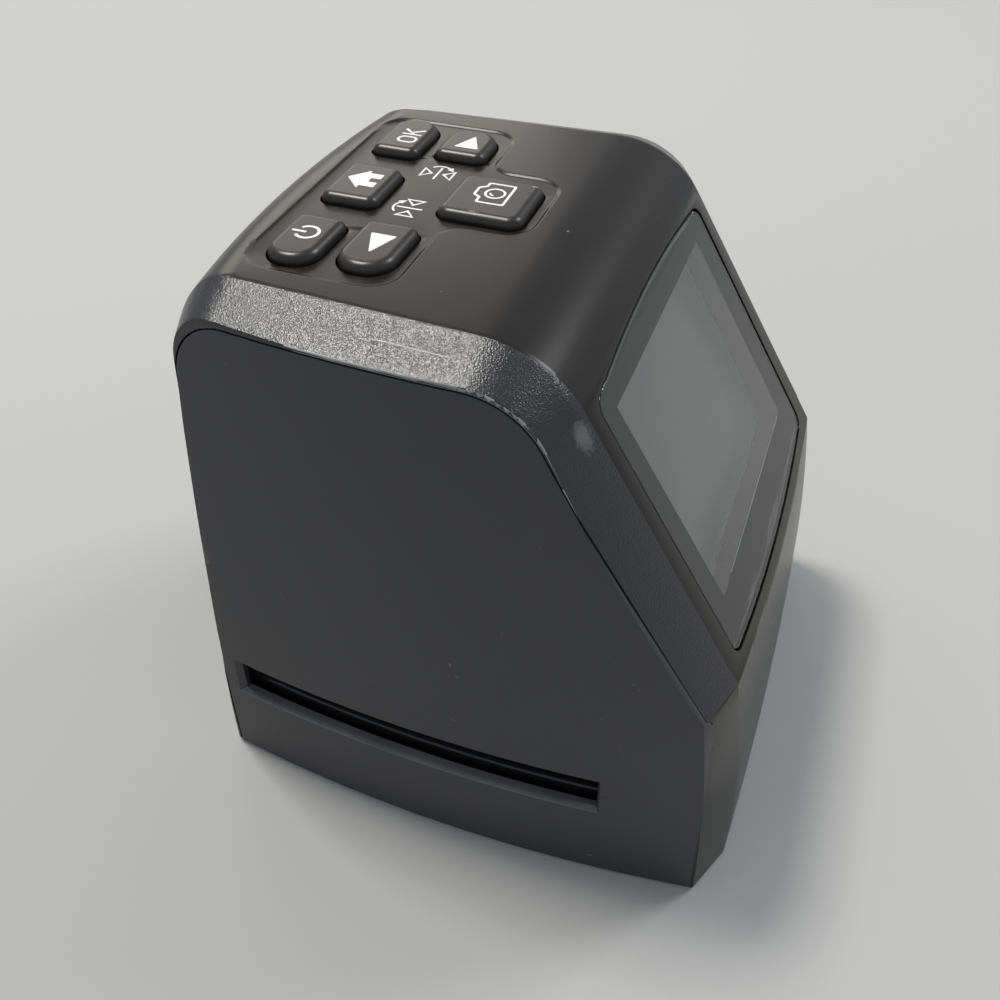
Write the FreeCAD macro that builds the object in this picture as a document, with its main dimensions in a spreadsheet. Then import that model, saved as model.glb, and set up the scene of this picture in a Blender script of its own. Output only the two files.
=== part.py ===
import FreeCAD, Part
import Sketcher
import math
import os
import re

# Desktop film negative scanner: a one-piece outer skin with a sloped display front,
# two bowed side panels with the film slot, six keys on top, and the film, light,
# lens and board parts inside. Lengths in millimetres, front towards -Y, up is +Z.

V = FreeCAD.Vector
doc = FreeCAD.newDocument("film_negative_scanner")
sizes = doc.addObject("Spreadsheet::Sheet", "sizes")

SIZES = [
    # outer skin
    ("skin_top", 98.5), ("skin_bottom", 0.6), ("slope_angle", 58.67), ("brow_radius", 18.0),
    ("front_y", 49.9), ("front_plan_radius", 788.0), ("front_profile_radius", 281.0), ("front_bow", 0.8),
    ("back_y", 49.9), ("back_plan_radius", 199.0), ("back_lean_share", 0.038), ("back_top_radius", 9.0),
    ("side_apex", 47.75), ("side_plan_radius", 290.0), ("side_profile_radius", 505.0), ("side_apex_height", 14.7),
    ("side_middle_y", -2.5), ("crease_inset", 14.55), ("crease_angle", 2.95), ("crease_back_rise", 0.6),
    ("crease_back_lean_share", 0.056),
    ("crease_back_radius", 11.0), ("band_tilt", 22.0), ("band_overrun", 3.0),
    ("wall", 2.2), ("ceiling", 2.6), ("outside_margin", 40.0), ("below_reach", 5.0), ("above_margin", 16.5),
    # side panels
    ("panel_thickness", 2.0), ("panel_gap", 0.25), ("ledge_depth", 3.9), ("ledge_width", 3.2),
    ("panel_low_setback", 5.0), ("panel_mid_setback", 5.2), ("panel_mid_z", 18.0), ("panel_high_setback", 6.2),
    ("panel_high_z", 40.0), ("panel_slope_inset", 3.15), ("panel_brow_inset", 3.75), ("panel_brow_y", -10.0),
    ("panel_brow_drop", 3.85), ("panel_tail_setback", 13.9), ("panel_tail_drop", 3.85), ("panel_back_setback", 5.4),
    ("panel_back_lean_share", 0.025),
    ("panel_knee_radius", 2.5), ("panel_front_radius", 60.0), ("panel_brow_radius", 14.0), ("panel_tail_radius", 9.5),
    # film slot in both panels
    ("slot_front_setback", 22.5), ("slot_back_setback", 10.1), ("slot_floor", 18.5), ("slot_roof", 26.65),
    ("slot_mouth_front_setback", 21.9), ("slot_mouth_back_setback", 8.8), ("slot_mouth_floor", 18.0),
    ("slot_mouth_depth", 1.0),
    # window plate in its pocket on the slope
    ("window_setback", 18.97), ("window_drop", 28.93), ("plate_top_margin", 2.6), ("plate_low_margin", 2.0),
    ("plate_top", 22.6), ("plate_top_bow", 2.0), ("plate_low", 25.4), ("plate_low_bow", 2.2), ("plate_corner", 2.6),
    ("plate_edge", 0.35), ("plate_sink", 0.12), ("plate_thickness", 1.4), ("plate_gap", 0.28), ("tape_thickness", 0.25),
    ("tape_margin", 1.1), ("window_margin", 8.0), ("window_half_height", 18.65),
    ("display_hole_margin", 5.0), ("display_hole_half_height", 21.3),
    ("display_boss_overlap", 0.3), ("display_boss_top", 25.6), ("display_boss_low", 28.6), ("display_boss_depth", 6.7),
    ("display_sink", 3.3), ("display_view_margin", 7.9), ("display_view_half_height", 18.75),
    # display layers
    ("lcd_margin", 6.1), ("lcd_half_height", 20.3), ("lcd_thickness", 1.3), ("lcd_frame_wall", 0.35),
    ("lcd_frame_lip", 0.25), ("lcd_play", 0.05), ("lcd_light_thickness", 1.1), ("lcd_opening_margin", 8.2),
    ("lcd_opening_half_height", 18.4),
    # main board behind the display
    ("board_thickness", 1.6), ("main_board_margin", 0.2), ("main_board_top", 24.0), ("main_board_low", 26.5),
    ("main_post_margin", 2.8), ("main_post_top", 21.2), ("main_post_low", 24.0), ("post_radius", 2.0),
    ("pilot_radius", 0.85), ("screw_radius", 0.8), ("screw_head_radius", 1.7), ("screw_head_height", 1.1),
    ("screw_length", 3.6), ("screw_play", 0.1), ("driver_slot", 0.35), ("driver_depth", 0.5), ("driver_length", 2.2),
    ("chip_height", 1.3), ("processor_x", -14.0), ("processor_y", -1.0), ("processor_half", 7.0),
    ("memory_x", 15.0), ("memory_y", 7.0), ("memory_half_width", 6.0), ("memory_half_height", 4.2),
    # key pad on top
    ("recess_depth", 0.3), ("recess_side_margin", 5.4), ("recess_back_setback", 12.7), ("recess_step_length", 25.0),
    ("recess_length", 38.2), ("recess_neck_left", 7.2), ("recess_neck_right", 12.9), ("recess_corner", 5.0),
    ("recess_inner_corner", 3.5), ("key_stand", 1.3), ("key_gap", 0.3), ("key_edge", 1.5), ("key_flange_margin", 0.8),
    ("key_ceiling_gap", 0.25), ("key_flange_thickness", 0.75), ("key_stem_half", 1.6), ("key_stem_length", 2.5),
    ("key_travel_room", 0.7), ("key_outer_margin", 2.05), ("arrow_outer_margin", 3.2), ("key_inner", 12.35),
    ("arrow_left_inner", 10.94), ("arrow_right_inner", 14.05), ("home_half", 6.3), ("camera_left", 5.25),
    ("camera_right", 8.5), ("key_round_end", 4.0), ("arrow_round_end", 4.3), ("key_small_corner", 1.7),
    ("home_corner", 1.9), ("camera_corner", 2.3), ("upper_key_start", 3.1), ("upper_key_end", 11.5),
    ("home_start", 2.85), ("home_end", 12.6), ("arrow_start", 13.8), ("arrow_end", 22.85), ("camera_start", 22.1),
    ("camera_end", 36.1), ("key_board_margin", 1.0), ("key_board_back_rise", 2.0), ("key_board_length", 40.7),
    ("key_post_margin", 3.6), ("key_post_first", 1.2), ("key_post_second", 28.6),
    ("switch_half", 3.0), ("switch_height", 2.3), ("plunger_radius", 1.6), ("plunger_height", 0.8),
    # base
    ("base_thickness", 2.2), ("base_gap", 0.25), ("base_side_setback", 11.9), ("base_side_inset", 2.45),
    ("foot_side_inset", 14.75), ("foot_end_inset", 14.9), ("foot_radius", 4.5), ("foot_seat", 1.4), ("foot_play", 0.1),
    ("foot_edge", 0.3), ("post_front_inset", 6.5), ("post_back_inset", 7.7), ("post_x", 28.0), ("post_web", 9.0),
    ("corner_post_radius", 3.0), ("corner_post_top", 14.0), ("base_screw_radius", 1.2), ("base_pilot_radius", 1.3),
    ("base_screw_head", 2.4), ("base_screw_seat", 1.9), ("base_screw_sink", 0.9), ("base_screw_tip", 11.0),
    ("base_head_gap", 0.3),
    # film path
    ("bed_drop", 0.1), ("bed_thickness", 2.3), ("bed_inset", 4.1), ("bed_edge", 0.8), ("rail_gap", 0.2), ("rail_width", 1.2),
    ("rail_rise", 0.1), ("tongue_half", 25.0), ("tongue_front_length", 5.8), ("tongue_back_length", 3.3),
    ("tongue_screw_x", 20.0), ("tongue_screw_front_at", 2.8), ("tongue_screw_back_at", 1.2), ("tongue_post_radius", 1.9),
    ("gate_half_width", 18.25), ("gate_half_height", 12.25), ("gate_y", 6.0), ("guide_thickness", 2.3),
    ("guide_inset", 4.6), ("base_post_radius", 2.5), ("guide_screw_length", 20.0),
    ("spring_x", 31.0), ("spring_front", -22.0), ("spring_back", -10.0), ("spring_half", 1.6), ("spring_thickness", 0.3),
    ("spring_nub_y", -19.5), ("spring_nub_radius", 0.9), ("spring_hole_radius", 1.3), ("spring_nub_rise", 0.2),
    # light under the film
    ("led_board_gap", 1.0), ("led_board_thickness", 1.2), ("led_board_half", 28.5), ("led_board_half_depth", 18.0),
    ("led_boss_x", 25.8), ("led_boss_y", 14.5), ("led_boss_radius", 1.8), ("led_half", 1.4), ("led_height", 0.8),
    ("led_pitch_x", 8.0), ("led_pitch_y", 7.0), ("led_screw_length", 3.4), ("light_box_half", 23.0),
    ("light_box_half_depth", 16.5), ("light_box_wall", 1.4), ("diffuser_thickness", 1.6), ("diffuser_gap", 0.4),
    ("diffuser_edge", 0.3),
    # lens above the film
    ("tower_half", 22.0), ("tower_half_depth", 16.0), ("tower_wall", 1.8), ("tower_height", 26.95),
    ("tower_neck_half", 15.0), ("tower_shoulder_height", 10.95), ("tower_plate", 2.0), ("tower_bore", 8.6),
    ("tower_foot_half", 26.6), ("tower_foot_half_depth", 19.0), ("tower_foot_height", 1.8), ("tower_screw_x", 24.3),
    ("tower_screw_y", 14.5), ("holder_half", 13.0), ("holder_height", 8.0), ("holder_bore", 7.55),
    ("holder_chamber_half", 8.5), ("holder_floor_height", 4.6), ("barrel_radius", 7.5), ("barrel_drop", 9.0),
    ("barrel_rise", 3.6), ("barrel_bore", 5.6), ("barrel_step", 4.6), ("barrel_step_height", 2.0),
    ("element_radius", 5.5), ("element_gap", 0.1), ("element_edge", 1.2), ("element_crown", 1.1), ("filter_half", 8.2),
    ("filter_thickness", 0.6), ("sensor_half", 5.5), ("sensor_thickness", 1.1), ("sensor_board_half", 13.0),
    ("sensor_board_thickness", 1.2), ("sensor_screw_at", 10.6), ("sensor_screw_length", 11.0),
    # sockets in the back wall
    ("rear_board_setback", 10.7), ("rear_board_half", 26.0), ("rear_board_bottom", 34.0), ("rear_board_top", 54.0),
    ("rear_post_x", 23.0), ("rear_post_z", 50.4), ("socket_z", 42.0), ("socket_gap", 0.25), ("socket_shell", 0.4),
    ("socket_floor", 1.2), ("usb_x", -18.0), ("usb_half", 3.9), ("usb_half_height", 1.9), ("usb_setback", 2.9),
    ("usb_tongue", 0.35), ("card_x", 0.3), ("card_half", 12.4), ("card_half_height", 1.6), ("card_setback", 2.6),
    ("video_x", 19.5), ("video_radius", 3.0), ("video_bore", 1.75), ("video_setback", 3.1),
    # ribbon cables
    ("flex_thickness", 0.25), ("key_flex_x", -18.0), ("key_flex_half", 5.0), ("key_flex_reach", 4.5),
    ("sensor_flex_x", 3.0), ("sensor_flex_half", 4.0), ("sensor_flex_reach", 4.5), ("rear_flex_x", 17.0),
    ("rear_flex_half", 2.8), ("rear_flex_top", 60.0), ("rear_flex_start", 46.0), ("flex_landing", 6.0),
    ("flex_turn_radius", 4.0),
]

# sizes that follow from the ones above
RULES = [
    ("crease_x", "side_apex - crease_inset"), ("outside_reach", "side_apex + outside_margin"),
    ("above_reach", "skin_top + above_margin"), ("band_reach_in", "side_apex * 2"),
    ("band_reach_out", "crease_inset + band_overrun"), ("crease_front_y", "front_y - front_bow"),
    ("crease_back_y", "back_y + crease_back_rise"), ("window_y", "window_setback - front_y"),
    ("window_z", "skin_top - window_drop"), ("panel_low_y", "front_y - panel_low_setback"),
    ("panel_mid_y", "front_y - panel_mid_setback"), ("panel_high_y", "front_y - panel_high_setback"),
    ("panel_brow_z", "skin_top - panel_brow_drop"), ("panel_tail_z", "skin_top - panel_tail_drop"),
    ("panel_tail_y", "back_y - panel_tail_setback"), ("panel_back_y", "back_y - panel_back_setback"),
    ("slot_front", "slot_front_setback - front_y"), ("slot_back", "back_y - slot_back_setback"),
    ("slot_mouth_front", "slot_mouth_front_setback - front_y"), ("slot_mouth_back", "back_y - slot_mouth_back_setback"),
    ("plate_mid_half", "crease_x - plate_top_margin"), ("plate_low_half", "crease_x - plate_low_margin"),
    ("window_half_width", "crease_x - window_margin"), ("display_hole_half_width", "crease_x - display_hole_margin"),
    ("display_view_half_width", "crease_x - display_view_margin"),
    ("display_boss_half_width", "crease_x + display_boss_overlap"), ("lcd_half_width", "crease_x - lcd_margin"),
    ("lcd_opening_half_width", "crease_x - lcd_opening_margin"), ("main_board_half", "crease_x - main_board_margin"),
    ("main_post_x", "crease_x - main_post_margin"), ("recess_half", "crease_x - recess_side_margin"),
    ("recess_back", "back_y - recess_back_setback"), ("recess_step", "recess_back - recess_step_length"),
    ("recess_front", "recess_back - recess_length"), ("key_top", "skin_top + key_stand"),
    ("key_flange_top", "skin_top - ceiling - key_ceiling_gap"), ("key_flange_bottom", "key_flange_top - key_flange_thickness"),
    ("key_stem_bottom", "key_flange_bottom - key_stem_length"), ("plunger_top", "key_stem_bottom - key_travel_room"),
    ("key_board_top", "plunger_top - plunger_height - switch_height"), ("key_board_half", "crease_x - key_board_margin"),
    ("key_board_back", "recess_back + key_board_back_rise"), ("key_board_front", "key_board_back - key_board_length"),
    ("key_post_x", "crease_x - key_post_margin"), ("key_post_back", "recess_back - key_post_first"),
    ("key_post_front", "recess_back - key_post_second"), ("base_top", "skin_bottom + base_thickness"),
    ("base_side_half", "front_y - base_side_setback"), ("foot_x", "side_apex - foot_side_inset"),
    ("foot_y", "front_y - foot_end_inset"), ("post_front_y", "front_y - post_front_inset"),
    ("post_back_y", "back_y - post_back_inset"), ("bed_top", "slot_floor - bed_drop"), ("bed_bottom", "bed_top - bed_thickness"),
    ("rail_inner_front", "slot_front - rail_gap"), ("rail_outer_front", "rail_inner_front - rail_width"),
    ("rail_inner_back", "slot_back + rail_gap"), ("rail_outer_back", "rail_inner_back + rail_width"),
    ("rail_top", "slot_roof + rail_rise"), ("guide_top", "rail_top + guide_thickness"),
    ("tongue_front", "rail_outer_front - tongue_front_length"), ("tongue_back", "rail_outer_back + tongue_back_length"),
    ("tongue_screw_front", "rail_outer_front - tongue_screw_front_at"),
    ("tongue_screw_back", "rail_outer_back + tongue_screw_back_at"), ("guide_screw_tip", "guide_top - guide_screw_length"),
    ("spring_nub_bottom", "rail_top + spring_nub_rise"), ("diffuser_top", "bed_bottom - diffuser_gap"),
    ("light_box_top", "diffuser_top - diffuser_thickness"), ("led_board_bottom", "base_top + led_board_gap"),
    ("led_board_top", "led_board_bottom + led_board_thickness"), ("led_top", "led_board_top + led_height"),
    ("tower_top", "guide_top + tower_height"), ("tower_shoulder", "guide_top + tower_shoulder_height"),
    ("holder_top", "tower_top + holder_height"), ("holder_chamber_floor", "tower_top + holder_floor_height"),
    ("barrel_bottom", "tower_top - barrel_drop"), ("barrel_top", "tower_top + barrel_rise"),
    ("barrel_step_top", "barrel_bottom + barrel_step_height"), ("element_bottom", "barrel_step_top + element_gap"),
    ("rear_board_back", "back_y - rear_board_setback"), ("rear_board_front", "rear_board_back - board_thickness"),
    ("rear_board_left", "-rear_board_half"), ("rear_board_right", "rear_board_half"),
    ("rear_post_left", "-rear_post_x"), ("rear_post_right", "rear_post_x"), ("usb_face", "back_y - usb_setback"),
    ("card_face", "back_y - card_setback"), ("video_face", "back_y - video_setback"),
    ("key_flex_back", "key_board_front + key_flex_reach"), ("sensor_flex_back", "gate_y - sensor_board_half + sensor_flex_reach"),
]

# left, right, front, back, left corner and right corner of each key
KEYS = {
    "key_power": ("key_outer_margin - recess_half", "-key_inner", "recess_back - upper_key_end",
                  "recess_back - upper_key_start", "key_round_end", "key_small_corner"),
    "key_ok": ("key_inner", "recess_half - key_outer_margin", "recess_back - upper_key_end",
               "recess_back - upper_key_start", "key_small_corner", "key_round_end"),
    "key_home": ("-home_half", "home_half", "recess_back - home_end", "recess_back - home_start", "home_corner", "home_corner"),
    "key_left": ("arrow_outer_margin - recess_half", "-arrow_left_inner", "recess_back - arrow_end",
                 "recess_back - arrow_start", "arrow_round_end", "key_small_corner"),
    "key_right": ("arrow_right_inner", "recess_half - arrow_outer_margin", "recess_back - arrow_end",
                  "recess_back - arrow_start", "key_small_corner", "arrow_round_end"),
    "key_camera": ("-camera_left", "camera_right", "recess_back - camera_end", "recess_back - camera_start",
                   "camera_corner", "camera_corner"),
}
for name in KEYS:
    for side, text in zip(("left", "right", "front", "back", "left_corner", "right_corner"), KEYS[name]):
        RULES.append((name + "_" + side, text))

cell = 0
for alias, value in SIZES:
    cell += 1
    sizes.set("A%d" % cell, alias.replace("_", " "))
    sizes.set("B%d" % cell, repr(float(value)))
    sizes.setAlias("B%d" % cell, alias)
doc.recompute()


ALIASES = set(alias for alias, value in SIZES)
RULE = dict(RULES)
WORD = re.compile(r"\b[a-z]+(?:_[a-z]+)*\b")


def expand(text):
    return WORD.sub(lambda m: "(" + expand(RULE[m.group(0)]) + ")" if m.group(0) in RULE else m.group(0), text)


def formula(text):
    return WORD.sub(lambda m: "sizes." + m.group(0) if m.group(0) in ALIASES else m.group(0), expand(text))


def amount(text):
    numbers = WORD.sub(lambda m: "(%r)" % float(sizes.get(m.group(0))) if m.group(0) in ALIASES else m.group(0), expand(text))
    return float(FreeCAD.Units.Quantity(numbers).Value)


KNOWN = {}


def S(name):
    if name not in KNOWN:
        KNOWN[name] = amount(name)
    return KNOWN[name]


def bind(thing, prop, text):
    thing.setExpression(prop, formula(text))


# shared pieces of outline geometry

def rounded(points, radii, place):
    count = len(points)
    starts, ends, mids = [], [], []
    for i in range(count):
        p, a, b = V(*points[i], 0), V(*points[i - 1], 0), V(*points[(i + 1) % count], 0)
        if radii[i] <= 0:
            starts.append(p)
            ends.append(p)
            mids.append(None)
            continue
        ua, ub = (a - p).normalize(), (b - p).normalize()
        half = ua.getAngle(ub) / 2
        back = radii[i] / math.tan(half)
        centre = p + (ua + ub).normalize() * (radii[i] / math.sin(half))
        starts.append(p + ua * back)
        ends.append(p + ub * back)
        mids.append(centre + (p - centre).normalize() * radii[i])
    edges = []
    for i in range(count):
        if mids[i] is not None:
            edges.append(Part.Arc(place(starts[i]), place(mids[i]), place(ends[i])).toShape())
        after = (i + 1) % count
        if (ends[i] - starts[after]).Length > 1e-6:
            edges.append(Part.makeLine(place(ends[i]), place(starts[after])))
    return Part.Wire(edges)


def inset(points, distance):
    area = sum(points[i - 1][0] * points[i][1] - points[i][0] * points[i - 1][1] for i in range(len(points)))
    turn = 1 if area > 0 else -1
    lines = []
    for i in range(len(points)):
        a, b = V(*points[i], 0), V(*points[(i + 1) % len(points)], 0)
        along = (b - a).normalize()
        normal = V(-along.y * turn, along.x * turn, 0)
        lines.append((a + normal * distance, along))
    corners = []
    for i in range(len(points)):
        (p, d), (q, e) = lines[i - 1], lines[i]
        cross = d.x * e.y - d.y * e.x
        step = ((q.x - p.x) * e.y - (q.y - p.y) * e.x) / cross
        corners.append((p.x + d.x * step, p.y + d.y * step))
    return corners


def column(points, radii, low, high):
    wire = rounded(points, radii, lambda p: V(p.x, p.y, low))
    return Part.Face(wire).extrude(V(0, 0, high - low))


def crosswise(points, radii, left, right):
    wire = rounded(points, radii, lambda p: V(left, p.x, p.y))
    return Part.Face(wire).extrude(V(right - left, 0, 0))


def block(x0, x1, y0, y1, z0, z1):
    return Part.makeBox(x1 - x0, y1 - y0, z1 - z0, V(x0, y0, z0))


def peg(x, y, z0, z1, radius):
    return Part.makeCylinder(radius, z1 - z0, V(x, y, z0), V(0, 0, 1))


def tilted(shape):
    moved = shape.copy()
    moved.rotate(V(0, 0, 0), V(1, 0, 0), S("slope_angle"))
    moved.translate(V(0, S("window_y"), S("window_z")))
    return moved


# the outer form of the scanner, moved inwards by a wall thickness

COS = math.cos(math.radians(S("slope_angle")))
SIN = math.sin(math.radians(S("slope_angle")))


def slope_y(height, depth):
    return S("window_y") + depth * SIN + (height - S("window_z") + depth * COS) * COS / SIN


def slope_prism(depth, top):
    roof = S("skin_top") - top
    reach = S("outside_reach")
    floor = -S("below_reach")
    points = [(reach, floor), (reach, roof), (slope_y(roof, depth), roof), (slope_y(floor, depth), floor)]
    return crosswise(points, [0, 0, S("brow_radius") - depth, 0], -reach, reach)


def turned(axis, away, profile):
    edges = []
    for kind, spots in profile:
        spots = [axis + away * r + V(0, 0, z) for r, z in spots]
        edges.append(Part.Arc(*spots).toShape() if kind == "arc" else Part.makeLine(*spots))
    return Part.Face(Part.Wire(edges)).revolve(axis, V(0, 0, 1), 360)


def bulged(axis, away, plan_radius, profile_radius, centre_height, depth):
    def r(z):
        return plan_radius - profile_radius + math.sqrt((profile_radius - depth) ** 2 - (z - centre_height) ** 2)
    low, high = -S("below_reach"), S("above_reach")
    mid = (low + high) / 2
    profile = [("line", [(0, low), (r(low), low)]), ("arc", [(r(low), low), (r(mid), mid), (r(high), high)]),
               ("line", [(r(high), high), (0, high)]), ("line", [(0, high), (0, low)])]
    return turned(axis, away, profile)


def front_form(depth):
    axis = V(0, S("front_plan_radius") - S("front_y"), 0)
    return bulged(axis, V(0, 1, 0), S("front_plan_radius"), S("front_profile_radius"), 0, depth)


def side_form(sign, depth):
    axis = V(sign * (S("side_apex") - S("side_plan_radius")), S("side_middle_y"), 0)
    return bulged(axis, V(-sign, 0, 0), S("side_plan_radius"), S("side_profile_radius"), S("side_apex_height"), depth)


def back_form(depth, top):
    axis = V(0, S("back_y") - S("back_plan_radius"), 0)
    low, high = -S("below_reach"), S("skin_top") - top
    lean = S("back_lean_share")
    points = [(0, low), (S("back_plan_radius") - lean * low - depth, low),
              (S("back_plan_radius") - lean * high - depth, high), (0, high)]
    wire = rounded(points, [0, 0, S("back_top_radius") - depth, 0], lambda p: axis + V(0, -p.x, p.y))
    return Part.Face(wire).revolve(axis, V(0, 0, 1), 360)


def band_section(shift, extra, top):
    depth = shift * math.tan(math.radians(S("band_tilt"))) + extra / math.cos(math.radians(S("band_tilt")))
    roof = S("skin_top") - depth
    floor = -S("below_reach")
    lean = S("crease_back_lean_share")
    back = S("crease_back_y") - depth * math.sqrt(1 + lean * lean)
    centre = S("front_profile_radius") - S("crease_front_y")
    radius = S("front_profile_radius") - depth
    low, high = 0.0, S("skin_top")
    while high - low > 1e-9:
        middle = (low + high) / 2
        if centre - math.sqrt(radius ** 2 - middle ** 2) > slope_y(middle, depth):
            low = middle
        else:
            high = middle
    knee = low

    def front(z):
        return (centre - math.sqrt(radius ** 2 - z ** 2), z)
    swing = math.radians(S("crease_angle"))

    def place(p):
        return V(S("crease_x") - math.sin(swing) * p.x + shift, math.cos(swing) * p.x, p.y)
    outline = [front(floor), (back - lean * floor, floor), (back - lean * roof, roof),
               (slope_y(roof, depth), roof), front(knee)]
    wire = rounded(outline, [0, 0, S("crease_back_radius") - depth, S("brow_radius") - depth, 0], place)
    edges = wire.Edges[:-1]
    edges.append(Part.Arc(place(V(*front(knee), 0)), place(V(*front((knee + floor) / 2), 0)),
                          place(V(*front(floor), 0))).toShape())
    return Part.Wire(edges)


def band_form(sign, depth, top):
    sections = [band_section(-S("band_reach_in"), depth, top), band_section(S("band_reach_out"), depth, top)]
    form = Part.makeLoft(sections, True, True)
    return form if sign > 0 else form.mirror(V(0, 0, 0), V(1, 0, 0))


def form(depth, side_depth, top):
    shape = slope_prism(depth, top)
    for other in [front_form(depth), back_form(depth, top), side_form(1, side_depth), side_form(-1, side_depth),
                  band_form(1, depth, top), band_form(-1, depth, top)]:
        shape = shape.common(other)
    return shape


def above(height):
    reach = S("outside_reach")
    return block(-reach, reach, -reach, reach, height, S("above_reach"))


def between(low, high):
    reach = S("outside_reach")
    return block(-reach, reach, -reach, reach, low, high)


# outline of a side panel, seen from the side

def panel_outline(distance):
    floor = -S("below_reach")
    lean = S("panel_back_lean_share")
    knee_slope, brow_slope = S("panel_slope_inset"), S("panel_brow_inset")
    rise =(S("panel_tail_z") - S("panel_brow_z")) / (S("panel_tail_y") - S("panel_brow_y"))
    low, high = 0.0, S("skin_top")
    run = (S("panel_high_y") - S("panel_mid_y")) / (S("panel_high_z") - S("panel_mid_z"))
    while high - low > 1e-9:
        middle = (low + high) / 2
        if -(S("panel_mid_y") + run * (middle - S("panel_mid_z"))) > slope_y(middle, knee_slope):
            low = middle
        else:
            high = middle
    knee = (slope_y(low, knee_slope), low)
    low, high = S("window_z"), S("above_reach")
    while high - low > 1e-9:
        middle = (low + high) / 2
        if S("panel_brow_z") + rise * (slope_y(middle, brow_slope) - S("panel_brow_y")) > middle:
            low = middle
        else:
            high = middle
    brow = (slope_y(low, brow_slope), low)
    tail_z = S("panel_tail_z")
    points = [(-S("panel_low_y"), floor), (-S("panel_low_y"), 0), (-S("panel_mid_y"), S("panel_mid_z")), knee, brow,
              (S("panel_back_y") - lean * tail_z, tail_z + rise * (S("panel_back_y") - S("panel_tail_y"))),
              (S("panel_back_y"), 0), (S("panel_back_y"), floor)]
    radii = [0, S("panel_front_radius"), S("panel_front_radius"), S("panel_knee_radius"), S("panel_brow_radius"),
             S("panel_tail_radius"), 0, 0]
    points = inset(points, distance)
    return points, [r - distance if r > 0 else 0 for r in radii]


def panel_column(sign, distance):
    points, radii = panel_outline(distance)
    reach = S("outside_reach")
    if sign > 0:
        return crosswise(points, radii, S("crease_x") / 2, reach)
    return crosswise(points, radii, -reach, -S("crease_x") / 2)


def slot_tool(sign):
    axis = V(sign * (S("side_apex") - S("side_plan_radius")), S("side_middle_y"), 0)
    radius = S("side_plan_radius")
    inner = radius - S("slot_mouth_depth")
    deep = radius - S("band_reach_out")
    drop = (S("slot_floor") - S("slot_mouth_floor")) / S("slot_mouth_depth")
    outer = radius + S("slot_mouth_depth")
    spots = [(deep, S("slot_floor")), (inner, S("slot_floor")), (outer, S("slot_mouth_floor") - drop * (outer - radius)),
             (outer, S("slot_roof")), (deep, S("slot_roof"))]
    profile = [("line", [spots[i], spots[(i + 1) % len(spots)]]) for i in range(len(spots))]
    ring = turned(axis, V(-sign, 0, 0), profile)

    def skin(y):
        return math.sqrt(radius ** 2 - (y - S("side_middle_y")) ** 2) + S("side_apex") - radius

    def ray(y_in, y_out):
        a = V(skin(y_in) - S("slot_mouth_depth"), y_in, 0)
        b = V(skin(y_out), y_out, 0)
        c = a + (b - a) * 3
        return [(a.x, a.y), (c.x, c.y)]
    back = ray(S("slot_back"), S("slot_mouth_back"))
    front = ray(S("slot_front"), S("slot_mouth_front"))
    near, far = S("crease_x") / 2, S("outside_reach") * 2
    plan = [(near, S("slot_front"))] + front + [(far, front[1][1]), (far, back[1][1])] + back[::-1]
    plan.append((near, S("slot_back")))
    plan = [(sign * x, y) for x, y in plan]
    window = column(plan, [0] * len(plan), 0, S("rail_top") * 2)
    return ring.common(window)


def plate_solid(grow, z0, z1):
    half_top, half_low = S("plate_mid_half") + grow, S("plate_low_half") + grow
    top, low = S("plate_top") + grow, -S("plate_low") - grow
    corner = S("plate_corner") + grow
    side = Part.Face(rounded([(-half_top, top + S("plate_top_bow")), (half_top, top + S("plate_top_bow")),
                              (half_low, low - S("plate_low_bow")), (-half_low, low - S("plate_low_bow"))],
                             [0, 0, 0, 0], lambda p: V(p.x, p.y, z0))).extrude(V(0, 0, z1 - z0))

    def lens_disc(half, edge, bow, sign):
        radius = (half * half + bow * bow) / (2 * bow)
        return peg(0, sign * (edge + bow - radius), z0, z1, radius)
    shape = side.common(lens_disc(half_top, S("plate_top") + grow, S("plate_top_bow"), 1))
    shape = shape.common(lens_disc(half_low, S("plate_low") + grow, S("plate_low_bow"), -1))
    upright = [e for e in shape.Edges if abs(e.Vertexes[0].Z - e.Vertexes[-1].Z) > (z1 - z0) / 2]
    return shape.makeFillet(corner, upright)



# housing skin

SIGNS = (-1, 1)


def key_column(name, grow, low, high):
    x0, x1 = S(name + "_left") - grow, S(name + "_right") + grow
    y0, y1 = S(name + "_front") - grow, S(name + "_back") + grow
    rl, rr = S(name + "_left_corner") + grow, S(name + "_right_corner") + grow
    return column([(x0, y0), (x1, y0), (x1, y1), (x0, y1)], [rl, rr, rr, rl], low, high)


def wall_peg(x, y, z, y_end, radius):
    return Part.makeCylinder(radius, y_end - y, V(x, y, z), V(0, 1, 0))


outer = form(0, 0, 0).common(above(S("skin_bottom")))
cavity = form(S("wall"), S("ledge_depth"), S("ceiling"))
skin = outer.cut(cavity)
for sign in SIGNS:
    pocket = panel_column(sign, 0).cut(side_form(sign, S("panel_thickness") + S("panel_gap")))
    skin = skin.cut(pocket)
    skin = skin.cut(panel_column(sign, S("ledge_width")))

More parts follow.
